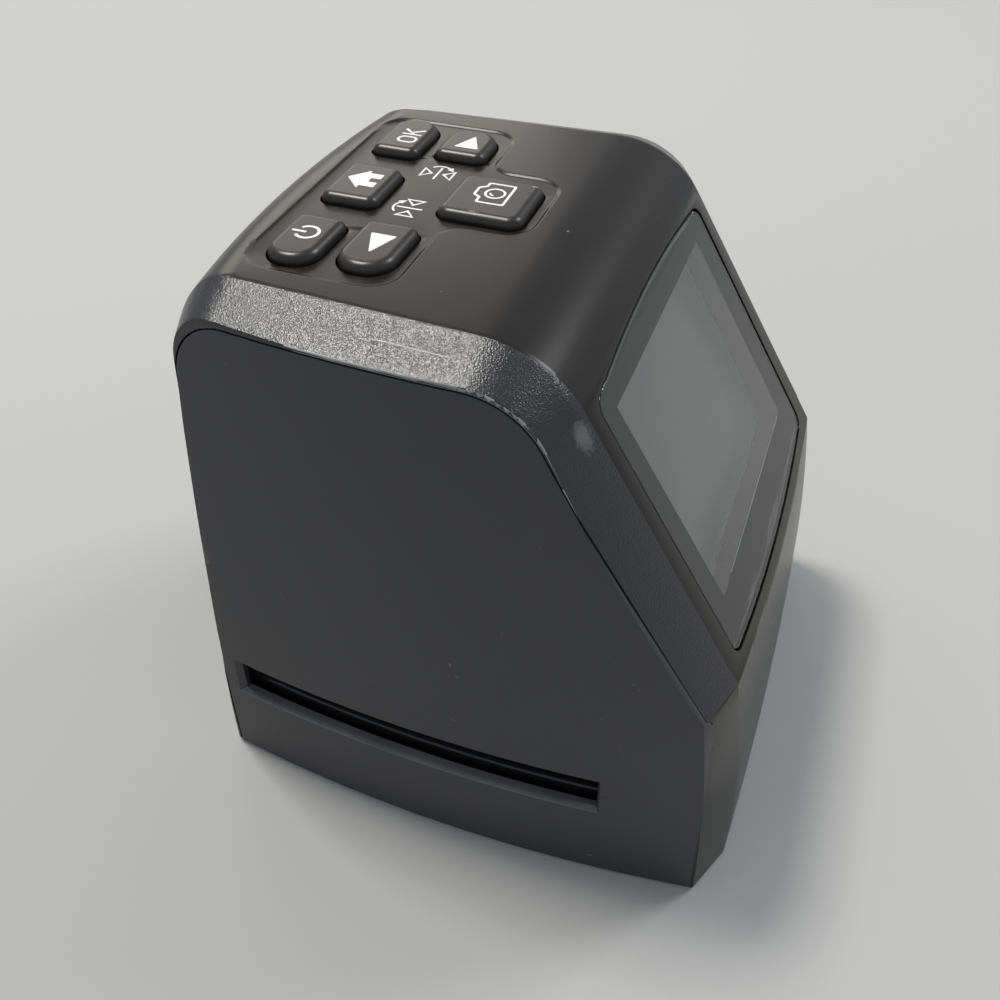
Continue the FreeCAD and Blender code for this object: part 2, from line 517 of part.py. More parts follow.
boss = block(-S("display_boss_half_width"), S("display_boss_half_width"), -S("display_boss_low"), S("display_boss_top"),
             -S("display_boss_depth"), -S("wall") / 2)
boss = tilted(boss).common(form(S("wall") / 2, S("ledge_depth"), S("ceiling") / 2))
skin = skin.fuse(boss)
display_back = -S("display_boss_depth")
display_seat = -S("plate_sink") - S("plate_thickness") - S("tape_thickness") - S("display_sink")
main_face = display_seat - S("lcd_play") * 4 - S("lcd_frame_lip") - S("lcd_thickness") - S("lcd_light_thickness")
pilot_depth = S("screw_length") - S("board_thickness") + S("screw_play")
MAIN_POSTS = [(x, y) for x in (-S("main_post_x"), S("main_post_x")) for y in (S("main_post_top"), -S("main_post_low"))]
for x, y in MAIN_POSTS:
    skin = skin.fuse(tilted(peg(x, y, main_face, display_back + S("wall") / 2, S("post_radius"))))
KEY_POSTS = [(x, y) for x in (-S("key_post_x"), S("key_post_x")) for y in (S("key_post_front"), S("key_post_back"))]
for x, y in KEY_POSTS:
    post = peg(x, y, S("key_board_top"), S("skin_top"), S("post_radius")).common(form(S("wall") / 2, S("wall"), S("wall") / 2))
    skin = skin.fuse(post)
CORNER_POSTS = [(x, y) for x in (-S("post_x"), S("post_x")) for y in (-S("post_front_y"), S("post_back_y"))]
room = form(S("wall") / 2, S("wall"), S("wall") / 2)
for x, y in CORNER_POSTS:
    post = peg(x, y, S("base_top"), S("corner_post_top"), S("corner_post_radius"))
    end = y + math.copysign(S("post_web"), y)
    web = block(x - S("wall") / 2, x + S("wall") / 2, min(y, end), max(y, end), S("base_top"), S("corner_post_top"))
    skin = skin.fuse(post.fuse(web).common(room))
REAR_POSTS = [(x, S("rear_post_z")) for x in (S("rear_post_left"), S("rear_post_right"))]
for x, z in REAR_POSTS:
    skin = skin.fuse(wall_peg(x, S("rear_board_back"), z, S("outside_reach"), S("post_radius")).common(room))

skin = skin.cut(tilted(plate_solid(S("plate_gap"), -S("plate_sink") - S("plate_thickness") - S("tape_thickness"), S("wall"))))
hole = block(-S("display_hole_half_width"), S("display_hole_half_width"), -S("display_hole_half_height"),
             S("display_hole_half_height"), -S("display_boss_depth") * 2, display_seat)
skin = skin.cut(tilted(hole))
hole = block(-S("display_view_half_width"), S("display_view_half_width"), -S("display_view_half_height"),
             S("display_view_half_height"), display_seat * 2, 0)
skin = skin.cut(tilted(hole))
for x, y in MAIN_POSTS:
    skin = skin.cut(tilted(peg(x, y, main_face, main_face + pilot_depth, S("pilot_radius"))))
half, left, right = S("recess_half"), -S("recess_neck_left"), S("recess_neck_right")
back, step, front = S("recess_back"), S("recess_step"), S("recess_front")
outline = [(-half, back), (-half, step), (left, step), (left, front), (right, front), (right, step), (half, step), (half, back)]
rc, ri = S("recess_corner"), S("recess_inner_corner")
skin = skin.cut(column(outline, [rc, rc, ri, rc, rc, ri, rc, rc], S("skin_top") - S("recess_depth"), S("above_reach")))
for name in KEYS:
    skin = skin.cut(key_column(name, S("key_gap"), S("key_flange_top"), S("above_reach")))
for x, y in KEY_POSTS:
    skin = skin.cut(peg(x, y, S("key_board_top"), S("key_board_top") + pilot_depth, S("pilot_radius")))
for x, y in CORNER_POSTS:
    skin = skin.cut(peg(x, y, S("base_top"), S("corner_post_top") - S("wall"), S("base_pilot_radius")))
for x, z in REAR_POSTS:
    skin = skin.cut(wall_peg(x, S("rear_board_back"), z, S("rear_board_back") + pilot_depth, S("pilot_radius")))
gap, reach, z = S("socket_gap"), S("outside_reach"), S("socket_z")
for name in ("usb", "card"):
    wide, tall = S(name + "_half") + gap, S(name + "_half_height") + gap
    skin = skin.cut(block(S(name + "_x") - wide, S(name + "_x") + wide, S("rear_board_back"), reach, z - tall, z + tall))
skin = skin.cut(wall_peg(S("video_x"), S("rear_board_back"), z, reach, S("video_radius") + gap))


def piece(label, shape):
    thing = doc.addObject("Part::Feature", label)
    thing.Shape = shape
    return thing


piece("housing_wrap", skin)
for sign, name in zip(SIGNS, ("side_panel_left", "side_panel_right")):
    panel = outer.common(panel_column(sign, S("panel_gap"))).cut(side_form(sign, S("panel_thickness")))
    piece(name, panel.cut(slot_tool(sign)))


# window plate and the tape frame behind it

z1 = -S("plate_sink")
z0 = z1 - S("plate_thickness")
plate = plate_solid(0, z0, z1)
rim = [e for e in plate.Edges if min(v.Z for v in e.Vertexes) > (z0 + z1) / 2]
piece("display_lens", tilted(plate.makeFillet(S("plate_edge"), rim)))
tape = plate_solid(-S("tape_margin"), z0 - S("tape_thickness"), z0)
tape = tape.cut(block(-S("window_half_width"), S("window_half_width"), -S("window_half_height"),
                      S("window_half_height"), z0 * 2, 0))
piece("lens_tape_frame", tilted(tape))


# bodies made from sketches

def plane(body, role):
    return [feature for feature in body.Origin.OriginFeatures if feature.Role == role][0]


def new_sketch(body, name, level):
    drawing = body.newObject("Sketcher::SketchObject", name)
    drawing.AttachmentSupport = [(plane(body, "XY_Plane"), "")]
    drawing.MapMode = "FlatFace"
    bind(drawing, "AttachmentOffset.Base.z", level)
    return drawing


def dimension(drawing, constraint, name, text):
    drawing.renameConstraint(drawing.addConstraint(constraint), name)
    bind(drawing, "Constraints." + name, text)


def rectangle(drawing, tag, x0, x1, y0, y1):
    a, b, c, d = amount(x0), amount(x1), amount(y0), amount(y1)
    corners = [V(a, c, 0), V(b, c, 0), V(b, d, 0), V(a, d, 0)]
    first = drawing.GeometryCount
    for i in range(4):
        drawing.addGeometry(Part.LineSegment(corners[i], corners[(i + 1) % 4]), False)
    for i in range(4):
        drawing.addConstraint(Sketcher.Constraint("Coincident", first + i, 2, first + (i + 1) % 4, 1))
        drawing.addConstraint(Sketcher.Constraint("Vertical" if i % 2 else "Horizontal", first + i))
    dimension(drawing, Sketcher.Constraint("DistanceX", -1, 1, first, 1, a), tag + "_left", x0)
    dimension(drawing, Sketcher.Constraint("DistanceX", -1, 1, first + 2, 1, b), tag + "_right", x1)
    dimension(drawing, Sketcher.Constraint("DistanceY", -1, 1, first, 1, c), tag + "_front", y0)
    dimension(drawing, Sketcher.Constraint("DistanceY", -1, 1, first + 2, 1, d), tag + "_back", y1)


def circle(drawing, tag, x, y, radius):
    ring = drawing.addGeometry(Part.Circle(V(amount(x), amount(y), 0), V(0, 0, 1), amount(radius)), False)
    if abs(amount(x)) > 0:
        dimension(drawing, Sketcher.Constraint("DistanceX", -1, 1, ring, 3, amount(x)), tag + "_x", x)
    else:
        drawing.addConstraint(Sketcher.Constraint("PointOnObject", ring, 3, -2))
    dimension(drawing, Sketcher.Constraint("DistanceY", -1, 1, ring, 3, amount(y)), tag + "_y", y)
    dimension(drawing, Sketcher.Constraint("Radius", ring, amount(radius)), tag + "_radius", radius)


def pad(body, name, outline, z0, z1, windows=(), holes=()):
    drawing = new_sketch(body, body.Label + "_" + name + "_sketch", z0)
    if len(outline) == 4:
        rectangle(drawing, "edge", *outline)
    else:
        circle(drawing, "edge", *outline)
    for i, window in enumerate(windows):
        rectangle(drawing, "window%d" % i, *window)
    for i, spot in enumerate(holes):
        circle(drawing, "hole%d" % i, *spot)
    feature = body.newObject("PartDesign::Pad", body.Label + "_" + name)
    feature.Profile = drawing
    bind(feature, "Length", "(%s) - (%s)" % (z1, z0))
    drawing.Visibility = False
    doc.recompute()
    return feature


def fillet(body, name, radius, test):
    before = body.Tip
    edges = ["Edge%d" % (i + 1) for i, edge in enumerate(before.Shape.Edges) if test(edge)]
    feature = body.newObject("PartDesign::Fillet", body.Label + "_" + name)
    feature.Base = (before, edges)
    bind(feature, "Radius", radius)
    doc.recompute()
    return feature


def body_of(label):
    return doc.addObject("PartDesign::Body", label)


def lean_back(thing):
    thing.Placement = FreeCAD.Placement(V(0, S("window_y"), S("window_z")), FreeCAD.Rotation(V(1, 0, 0), S("slope_angle")))
    bind(thing, "Placement.Base.y", "window_y")
    bind(thing, "Placement.Base.z", "window_z")
    bind(thing, "Placement.Rotation.Angle", "slope_angle")


def upright(edge):
    a, b = edge.Vertexes[0].Point, edge.Vertexes[-1].Point
    return abs(a.x - b.x) + abs(a.y - b.y) < 1e-6 and abs(a.z - b.z) > 1e-6


# display stack, in the leaning frame of the slope

def around(half_width, half_height):
    return ("-(%s)" % half_width, half_width, "-(%s)" % half_height, half_height)


stack = "-plate_sink - plate_thickness - tape_thickness - display_sink - lcd_play"
body = body_of("lcd_frame")
full = around("lcd_half_width + lcd_play + lcd_frame_wall", "lcd_half_height + lcd_play + lcd_frame_wall")
pad(body, "lip", full, stack + " - lcd_frame_lip", stack, [around("lcd_opening_half_width", "lcd_opening_half_height")])
floor = stack + " - lcd_frame_lip - lcd_play * 3 - lcd_thickness - lcd_light_thickness"
pad(body, "walls", full, floor, stack + " - lcd_frame_lip", [around("lcd_half_width + lcd_play", "lcd_half_height + lcd_play")])
lean_back(body)
glass_top = stack + " - lcd_frame_lip - lcd_play"
body = body_of("lcd_panel")
pad(body, "glass", around("lcd_half_width", "lcd_half_height"), glass_top + " - lcd_thickness", glass_top)
lean_back(body)
light_top = glass_top + " - lcd_thickness - lcd_play"
body = body_of("lcd_backlight")
pad(body, "guide", around("lcd_half_width", "lcd_half_height"), light_top + " - lcd_light_thickness", light_top)
lean_back(body)
body = body_of("main_board")
spots = [(sign + "main_post_x", y, "screw_radius + screw_play") for sign in ("-", "") for y in ("main_post_top", "-main_post_low")]
pad(body, "plate", ("-main_board_half", "main_board_half", "-main_board_low", "main_board_top"),
    floor + " - board_thickness", floor, [], spots)
fillet(body, "corners", "post_radius / 2", lambda edge: upright(edge) and edge.Curve.TypeId == "Part::GeomLine"
       and abs(abs(edge.Vertexes[0].X) - S("main_board_half")) < 1e-6)
lean_back(body)


def box(label, x0, x1, y0, y1, z0, z1):
    thing = doc.addObject("Part::Box", label)
    for prop, low, high in (("Length", x0, x1), ("Width", y0, y1), ("Height", z0, z1)):
        bind(thing, prop, "(%s) - (%s)" % (high, low))
    for prop, low in (("x", x0), ("y", y0), ("z", z0)):
        bind(thing, "Placement.Base." + prop, low)
    return thing


def rod(label, x, y, z0, z1, radius):
    thing = doc.addObject("Part::Cylinder", label)
    bind(thing, "Radius", radius)
    bind(thing, "Height", "(%s) - (%s)" % (z1, z0))
    for prop, low in (("x", x), ("y", y), ("z", z0)):
        bind(thing, "Placement.Base." + prop, low)
    return thing


def joined(label, things):
    thing = doc.addObject("Part::MultiFuse", label)
    thing.Shapes = things
    return thing


def without(label, base, tool):
    thing = doc.addObject("Part::Cut", label)
    thing.Base = base
    thing.Tool = tool
    return thing


def group(label, things):
    thing = doc.addObject("Part::Compound", label)
    thing.Links = things
    return thing


def screws(label, spots, seat, way, length, shank="screw_radius", head="screw_head_radius", height="screw_head_height"):
    made = []
    for i, (x, y) in enumerate(spots):
        tag = "%s_%d" % (label, i)
        if way > 0:
            head_span, shank_span, slot_span = (seat, "%s + %s" % (seat, height)), ("%s - (%s)" % (seat, length), seat), \
                ("%s + %s - driver_depth" % (seat, height), "%s + %s" % (seat, height))
        else:
            head_span, shank_span, slot_span = ("%s - %s" % (seat, height), seat), (seat, "%s + (%s)" % (seat, length)), \
                ("%s - %s" % (seat, height), "%s - %s + driver_depth" % (seat, height))
        whole = joined(tag + "_blank", [rod(tag + "_head", x, y, head_span[0], head_span[1], head),
                                        rod(tag + "_shank", x, y, shank_span[0], shank_span[1], shank)])
        long, thin = "driver_length / 2", "driver_slot / 2"
        cross = joined(tag + "_cross", [
            box(tag + "_slot_a", "%s - %s" % (x, long), "%s + %s" % (x, long), "%s - %s" % (y, thin), "%s + %s" % (y, thin), *slot_span),
            box(tag + "_slot_b", "%s - %s" % (x, thin), "%s + %s" % (x, thin), "%s - %s" % (y, long), "%s + %s" % (y, long), *slot_span)])
        made.append(without(tag, whole, cross))
    return group(label, made)


pairs = [(sign + "main_post_x", y) for sign in ("-", "") for y in ("main_post_top", "-main_post_low")]
lean_back(screws("main_board_screws", pairs, floor + " - board_thickness", -1, "screw_length"))
rear_face = floor + " - board_thickness"
chips = [box("processor", "processor_x - processor_half", "processor_x + processor_half", "processor_y - processor_half",
             "processor_y + processor_half", rear_face + " - chip_height", rear_face),
         box("memory", "memory_x - memory_half_width", "memory_x + memory_half_width", "memory_y - memory_half_height",
             "memory_y + memory_half_height", rear_face + " - chip_height", rear_face)]
lean_back(group("main_chips", chips))


# keys with flange and stem, the board and switches below them

def key_body(name):
    body = body_of(name)
    sides = (name + "_left", name + "_right", name + "_front", name + "_back")
    middle = (S(name + "_left") + S(name + "_right")) / 2
    pad(body, "cap", sides, "key_flange_top", "key_top")
    fillet(body, "left", name + "_left_corner", lambda edge: upright(edge) and edge.Vertexes[0].X < middle)
    fillet(body, "right", name + "_right_corner", lambda edge: upright(edge) and edge.Curve.TypeId == "Part::GeomLine"
           and abs(edge.Vertexes[0].X - S(name + "_right")) < 1e-6)
    fillet(body, "rim", "key_edge", lambda edge: min(v.Z for v in edge.Vertexes) > S("key_top") - 1e-6)
    wide = (name + "_left - key_flange_margin", name + "_right + key_flange_margin",
            name + "_front - key_flange_margin", name + "_back + key_flange_margin")
    pad(body, "flange", wide, "key_flange_bottom", "key_flange_top")
    centre_x = "(%s_left + %s_right) / 2" % (name, name)
    centre_y = "(%s_front + %s_back) / 2" % (name, name)
    stem = ("%s - key_stem_half" % centre_x, "%s + key_stem_half" % centre_x,
            "%s - key_stem_half" % centre_y, "%s + key_stem_half" % centre_y)
    pad(body, "stem", stem, "key_stem_bottom", "key_flange_bottom")
    return centre_x, centre_y


centres = dict((name, key_body(name)) for name in KEYS)
body = body_of("key_board")
pairs = [(sign + "key_post_x", y) for sign in ("-", "") for y in ("key_post_front", "key_post_back")]
pad(body, "plate", ("-key_board_half", "key_board_half", "key_board_front", "key_board_back"),
    "key_board_top - board_thickness", "key_board_top", [], [(x, y, "screw_radius + screw_play") for x, y in pairs])
screws("key_board_screws", pairs, "key_board_top - board_thickness", -1, "screw_length")
switches = []
for name in KEYS:
    x, y = centres[name]
    case = box(name + "_switch_case", x + " - switch_half", x + " + switch_half", y + " - switch_half", y + " + switch_half",
               "key_board_top", "key_board_top + switch_height")
    plunger = rod(name + "_plunger", x, y, "key_board_top + switch_height", "plunger_top", "plunger_radius")
    switches.append(joined(name + "_switch", [case, plunger]))
group("key_switches", switches)


# base plate with feet and screws

room = form(S("wall") + S("base_gap"), S("ledge_depth") + S("base_gap"), S("ceiling"))
broad = form(S("wall") + S("base_gap"), S("base_side_inset"), S("ceiling"))
broad = broad.common(block(-S("outside_reach"), S("outside_reach"), -S("base_side_half"), S("base_side_half"), 0, S("skin_top")))
base = room.fuse(broad).common(between(S("skin_bottom"), S("base_top")))
base = base.removeSplitter()
for x in (-S("led_boss_x"), S("led_boss_x")):
    for y in (S("gate_y") - S("led_boss_y"), S("gate_y") + S("led_boss_y")):
        base = base.fuse(peg(x, y, S("skin_bottom") * 2, S("led_board_bottom"), S("led_boss_radius")))
        base = base.cut(peg(x, y, S("led_board_top") - S("led_screw_length") - S("screw_play"), S("bed_top"), S("pilot_radius")))
TONGUES = [(x, y) for x in (-S("tongue_screw_x"), S("tongue_screw_x")) for y in (S("tongue_screw_front"), S("tongue_screw_back"))]
for x, y in TONGUES:
    base = base.fuse(peg(x, y, S("skin_bottom") * 2, S("bed_bottom"), S("base_post_radius")))
    base = base.cut(peg(x, y, S("guide_screw_tip") - S("screw_play"), S("bed_top"), S("pilot_radius")))
for x in (-S("foot_x"), S("foot_x")):
    for y in (-S("foot_y"), S("foot_y")):
        base = base.cut(peg(x, y, 0, S("foot_seat"), S("foot_radius") + S("foot_play")))
for x, y in CORNER_POSTS:
    base = base.cut(peg(x, y, 0, S("base_screw_seat"), S("base_screw_head") + S("base_head_gap")))
    base = base.cut(peg(x, y, 0, S("base_top") * 2, S("base_pilot_radius") + S("screw_play")))
piece("base_plate", base)
feet = []
for x in ("-foot_x", "foot_x"):
    for y in ("-foot_y", "foot_y"):
        foot = rod("foot_%d" % len(feet), x, y, "0", "foot_seat", "foot_radius")
        doc.recompute()
        rounded_foot = doc.addObject("Part::Fillet", "foot_round_%d" % len(feet))
        rounded_foot.Base = foot
        low = [i + 1 for i, edge in enumerate(foot.Shape.Edges) if max(v.Z for v in edge.Vertexes) < S("foot_seat") / 2]
        rounded_foot.Edges = [(i, S("foot_edge"), S("foot_edge")) for i in low]
        feet.append(rounded_foot)
group("rubber_feet", feet)
pairs = [(x, y) for x in ("-post_x", "post_x") for y in ("-post_front_y", "post_back_y")]
screws("base_screws", pairs, "base_screw_seat", -1, "base_screw_tip - base_screw_seat", "base_screw_radius",
       "base_screw_head", "base_screw_sink")


# film bed, upper guide and their springs

def film_plate(side_inset, z0, z1):
    shape = block(-S("outside_reach"), S("outside_reach"), S("rail_outer_front"), S("rail_outer_back"), z0, z1)
    shape = shape.common(side_form(1, side_inset)).common(side_form(-1, side_inset))
    tongues = block(-S("tongue_half"), S("tongue_half"), S("tongue_front"), S("tongue_back"), z0, z1)
    return shape.fuse(tongues).removeSplitter()


gate = block(-S("gate_half_width"), S("gate_half_width"), S("gate_y") - S("gate_half_height"),
             S("gate_y") + S("gate_half_height"), 0, S("guide_top") * 2)
bed = film_plate(S("bed_inset"), S("bed_bottom"), S("bed_top"))
ends = [e for e in bed.Edges if min(v.Z for v in e.Vertexes) > S("bed_top") - 1e-6
        and min(abs(v.X) for v in e.Vertexes) > S("tongue_half") + 1 and e.Curve.TypeId != "Part::GeomLine"]
bed = bed.makeFillet(S("bed_edge"), ends)
for low, high in ((S("rail_outer_front"), S("rail_inner_front")), (S("rail_inner_back"), S("rail_outer_back"))):
    rail = block(-S("outside_reach"), S("outside_reach"), low, high, S("bed_top") - S("bed_edge"), S("rail_top"))
    rail = rail.common(side_form(1, S("bed_inset") + S("bed_edge"))).common(side_form(-1, S("bed_inset") + S("bed_edge")))
    bed = bed.fuse(rail)
for x, y in TONGUES:
    bed = bed.fuse(peg(x, y, S("bed_bottom") + S("wall") / 2, S("rail_top"), S("tongue_post_radius")))
bed = bed.cut(gate)
for x, y in TONGUES:
    bed = bed.cut(peg(x, y, 0, S("guide_top"), S("screw_radius") + S("screw_play")))
piece("film_bed", bed)
guide = film_plate(S("guide_inset"), S("rail_top"), S("guide_top")).cut(gate)
for x, y in TONGUES:
    guide = guide.cut(peg(x, y, 0, S("guide_top") * 2, S("screw_radius") + S("screw_play")))
for x in (-S("tower_screw_x"), S("tower_screw_x")):
    for y in (S("gate_y") - S("tower_screw_y"), S("gate_y") + S("tower_screw_y")):
        guide = guide.cut(peg(x, y, S("rail_top") + S("screw_play"), S("guide_top") * 2, S("pilot_radius")))
for x in (-S("spring_x"), S("spring_x")):
    guide = guide.cut(peg(x, S("spring_nub_y"), 0, S("guide_top") * 2, S("spring_hole_radius")))
piece("film_guide_upper", guide)
pairs = [(x, y) for x in ("-tongue_screw_x", "tongue_screw_x") for y in ("tongue_screw_front", "tongue_screw_back")]
screws("guide_screws", pairs, "guide_top", 1, "guide_screw_length")
springs = []
for x in ("-spring_x", "spring_x"):
    tag = "spring_%d" % len(springs)
    leaf = box(tag + "_leaf", x + " - spring_half", x + " + spring_half", "spring_front", "spring_back",
               "guide_top", "guide_top + spring_thickness")
    nub = rod(tag + "_nub", x, "spring_nub_y", "spring_nub_bottom", "guide_top + spring_thickness / 2", "spring_nub_radius")
    springs.append(joined(tag, [leaf, nub]))
group("detent_springs", springs)


# light under the film

def about(half_width, half_depth):
    return ("-(%s)" % half_width, half_width, "gate_y - (%s)" % half_depth, "gate_y + (%s)" % half_depth)


pairs = [(x, y) for x in ("-led_boss_x", "led_boss_x") for y in ("gate_y - led_boss_y", "gate_y + led_boss_y")]
body = body_of("led_board")
pad(body, "plate", about("led_board_half", "led_board_half_depth"), "led_board_bottom", "led_board_top", [],
    [(x, y, "screw_radius + screw_play") for x, y in pairs])
screws("led_board_screws", pairs, "led_board_top", 1, "led_screw_length")
leds = []
for i in (-1, 0, 1):
    for j in (-1, 0, 1):
        x, y = "led_pitch_x * %d" % i, "gate_y + led_pitch_y * %d" % j
        leds.append(box("led_%d" % len(leds), x + " - led_half", x + " + led_half", y + " - led_half", y + " + led_half",
                        "led_board_top", "led_top"))
group("backlight_leds", leds)
body = body_of("light_box")
pad(body, "walls", about("light_box_half", "light_box_half_depth"), "led_board_top", "light_box_top",
    [about("light_box_half - light_box_wall", "light_box_half_depth - light_box_wall")])
body = body_of("diffuser")
pad(body, "plate", about("light_box_half", "light_box_half_depth"), "light_box_top", "diffuser_top")
fillet(body, "rim", "diffuser_edge", lambda edge: min(v.Z for v in edge.Vertexes) > S("diffuser_top") - 1e-6)


# lens tower with its holder, barrel, glass and sensor

pairs = [(x, y) for x in ("-tower_screw_x", "tower_screw_x") for y in ("gate_y - tower_screw_y", "gate_y + tower_screw_y")]
hollow = about("tower_half - tower_wall", "tower_half_depth - tower_wall")
slim = about("tower_neck_half - tower_wall", "tower_neck_half - tower_wall")
ears = [(x, y) for x in ("-sensor_screw_at", "sensor_screw_at") for y in ("gate_y - sensor_screw_at", "gate_y + sensor_screw_at")]
body = body_of("lens_tower")
pad(body, "foot", about("tower_foot_half", "tower_foot_half_depth"), "guide_top", "guide_top + tower_foot_height", [hollow],
    [(x, y, "screw_radius + screw_play") for x, y in pairs])
pad(body, "lower", about("tower_half", "tower_half_depth"), "guide_top + tower_foot_height", "tower_shoulder", [hollow])
pad(body, "shoulder", about("tower_half", "tower_half_depth"), "tower_shoulder", "tower_shoulder + tower_wall", [slim])
pad(body, "neck", about("tower_neck_half", "tower_neck_half"), "tower_shoulder + tower_wall", "tower_top - tower_plate", [slim])
pad(body, "plate", about("tower_neck_half", "tower_neck_half"), "tower_top - tower_plate", "tower_top", [],
    [("0", "gate_y", "tower_bore")] + [(x, y, "pilot_radius") for x, y in ears])
screws("tower_screws", pairs, "guide_top + tower_foot_height", 1, "screw_length")
body = body_of("lens_holder")
clear = [(x, y, "screw_radius + screw_play") for x, y in ears]
pad(body, "lower", about("holder_half", "holder_half"), "tower_top", "holder_chamber_floor", [], [("0", "gate_y", "holder_bore")] + clear)
pad(body, "upper", about("holder_half", "holder_half"), "holder_chamber_floor", "holder_top",
    [about("holder_chamber_half", "holder_chamber_half")], clear)
body = body_of("lens_barrel")
pad(body, "step", ("0", "gate_y", "barrel_radius"), "barrel_bottom", "barrel_step_top", [], [("0", "gate_y", "barrel_step")])
pad(body, "tube", ("0", "gate_y", "barrel_radius"), "barrel_step_top", "barrel_top", [], [("0", "gate_y", "barrel_bore")])
element = doc.addObject("Part::MultiCommon", "lens_element")
glass = rod("element_blank", "0", "gate_y", "element_bottom", "element_bottom + element_edge + element_crown * 2", "element_radius")
caps = []
bend = "(element_radius * element_radius + element_crown * element_crown) / (element_crown * 2)"
for tag, height in (("upper", "element_bottom + element_edge + element_crown * 2 - " + bend), ("lower", "element_bottom + " + bend)):
    ball = doc.addObject("Part::Sphere", "element_" + tag)
    bind(ball, "Radius", bend)
    bind(ball, "Placement.Base.y", "gate_y")
    bind(ball, "Placement.Base.z", height)
    caps.append(ball)
element.Shapes = [glass] + caps
body = body_of("ir_filter")
pad(body, "plate", about("filter_half", "filter_half"), "holder_chamber_floor", "holder_chamber_floor + filter_thickness")
body = body_of("image_sensor")
pad(body, "chip", about("sensor_half", "sensor_half"), "holder_top - sensor_thickness", "holder_top")
body = body_of("sensor_board")
pad(body, "plate", about("sensor_board_half", "sensor_board_half"), "holder_top", "holder_top + sensor_board_thickness", [], clear)
screws("sensor_screws", ears, "holder_top + sensor_board_thickness", 1, "sensor_screw_length")


# rear board and the sockets in the back wall

def along(label, x, y0, y1, z, radius):
    thing = rod(label, x, y0, "0", "(%s) - (%s)" % (y1, y0), radius)
    thing.Placement = FreeCAD.Placement(V(0, 0, 0), FreeCAD.Rotation(V(1, 0, 0), -90))
    bind(thing, "Placement.Base.x", x)
    bind(thing, "Placement.Base.y", y0)
    bind(thing, "Placement.Base.z", z)
    return thing


slab = box("rear_slab", "rear_board_left", "rear_board_right", "rear_board_front", "rear_board_back",
           "rear_board_bottom", "rear_board_top")
bores = [along("rear_bore_%s" % side, "rear_post_" + side, "rear_board_front", "rear_board_back", "rear_post_z",
               "screw_radius + screw_play") for side in ("left", "right")]
without("rear_board", slab, joined("rear_bores", bores))
heads = []
for side in ("left", "right"):
    x = "rear_post_" + side
    heads.append(joined("rear_screw_" + side, [
        along("rear_head_" + side, x, "rear_board_front - screw_head_height", "rear_board_front", "rear_post_z", "screw_head_radius"),
        along("rear_shank_" + side, x, "rear_board_front", "rear_board_front + screw_length", "rear_post_z", "screw_radius")]))
group("rear_board_screws", heads)
for name in ("usb", "card"):
    edges = (name + "_x - %s_half" % name, name + "_x + %s_half" % name, "rear_board_back", name + "_face",
             "socket_z - %s_half_height" % name, "socket_z + %s_half_height" % name)
    inner = (edges[0] + " + socket_shell", edges[1] + " - socket_shell", "rear_board_back + socket_floor", edges[3],
             edges[4] + " + socket_shell", edges[5] + " - socket_shell")
    shell = without(name + "_shell", box(name + "_case", *edges), box(name + "_mouth", *inner))
    if name == "usb":
        tongue = box("usb_tongue_bar", "usb_x - usb_half / 2", "usb_x + usb_half / 2", "rear_board_back + socket_floor / 2",
                     "usb_face - socket_floor", "socket_z - usb_tongue", "socket_z + usb_tongue")
        joined("usb_socket", [shell, tongue])
    else:
        shell.Label = "card_socket"
barrel = along("video_case", "video_x", "rear_board_back", "video_face", "socket_z", "video_radius")
without("video_socket", barrel, along("video_mouth", "video_x", "rear_board_back + socket_floor", "video_face", "socket_z", "video_bore"))


# ribbon cables between the boards

def ribbon(path, radii, x, half_width):
    thick = S("flex_thickness")
    normals = []
    for i in range(len(path) - 1):
        run = (V(*path[i + 1], 0) - V(*path[i], 0)).normalize()
        normals.append(V(-run.y, run.x, 0))
    far = [V(*path[0], 0) + normals[0] * thick]
    for i in range(1, len(path) - 1):
        miter = (normals[i - 1] + normals[i]).normalize()
        far.append(V(*path[i], 0) + miter * (thick / miter.dot(normals[i])))
    far.append(V(*path[-1], 0) + normals[-1] * thick)
    outline = list(path) + [(p.x, p.y) for p in far[::-1]]
    bends = [0] + list(radii) + [0]
    return crosswise(outline, bends + [r - thick if r > 0 else 0 for r in bends[::-1]], x - half_width, x + half_width)


board_back = -main_face + S("board_thickness")


def board_spot(height):
    return (slope_y(height, board_back), height)


def down_board(height, distance):
    y, z = board_spot(height)
    return (y - distance * COS, z - distance * SIN)


turn = S("flex_turn_radius")
level = S("key_board_top") - S("board_thickness")
piece("key_flex", ribbon([(S("key_flex_back"), level), board_spot(level), down_board(level, S("flex_landing") * 2)], [turn],
                         S("key_flex_x"), S("key_flex_half")))
level = S("holder_top") + S("sensor_board_thickness") + S("flex_thickness")
piece("sensor_flex", ribbon([(S("sensor_flex_back"), level), board_spot(level), down_board(level, S("flex_landing"))], [turn],
                            S("sensor_flex_x"), S("sensor_flex_half")))
level = S("rear_flex_top")
piece("rear_flex", ribbon([(S("rear_board_front"), S("rear_flex_start")), (S("rear_board_front"), level), board_spot(level),
                           down_board(level, S("flex_landing"))], [turn, turn], S("rear_flex_x"), S("rear_flex_half")))

doc.recompute()

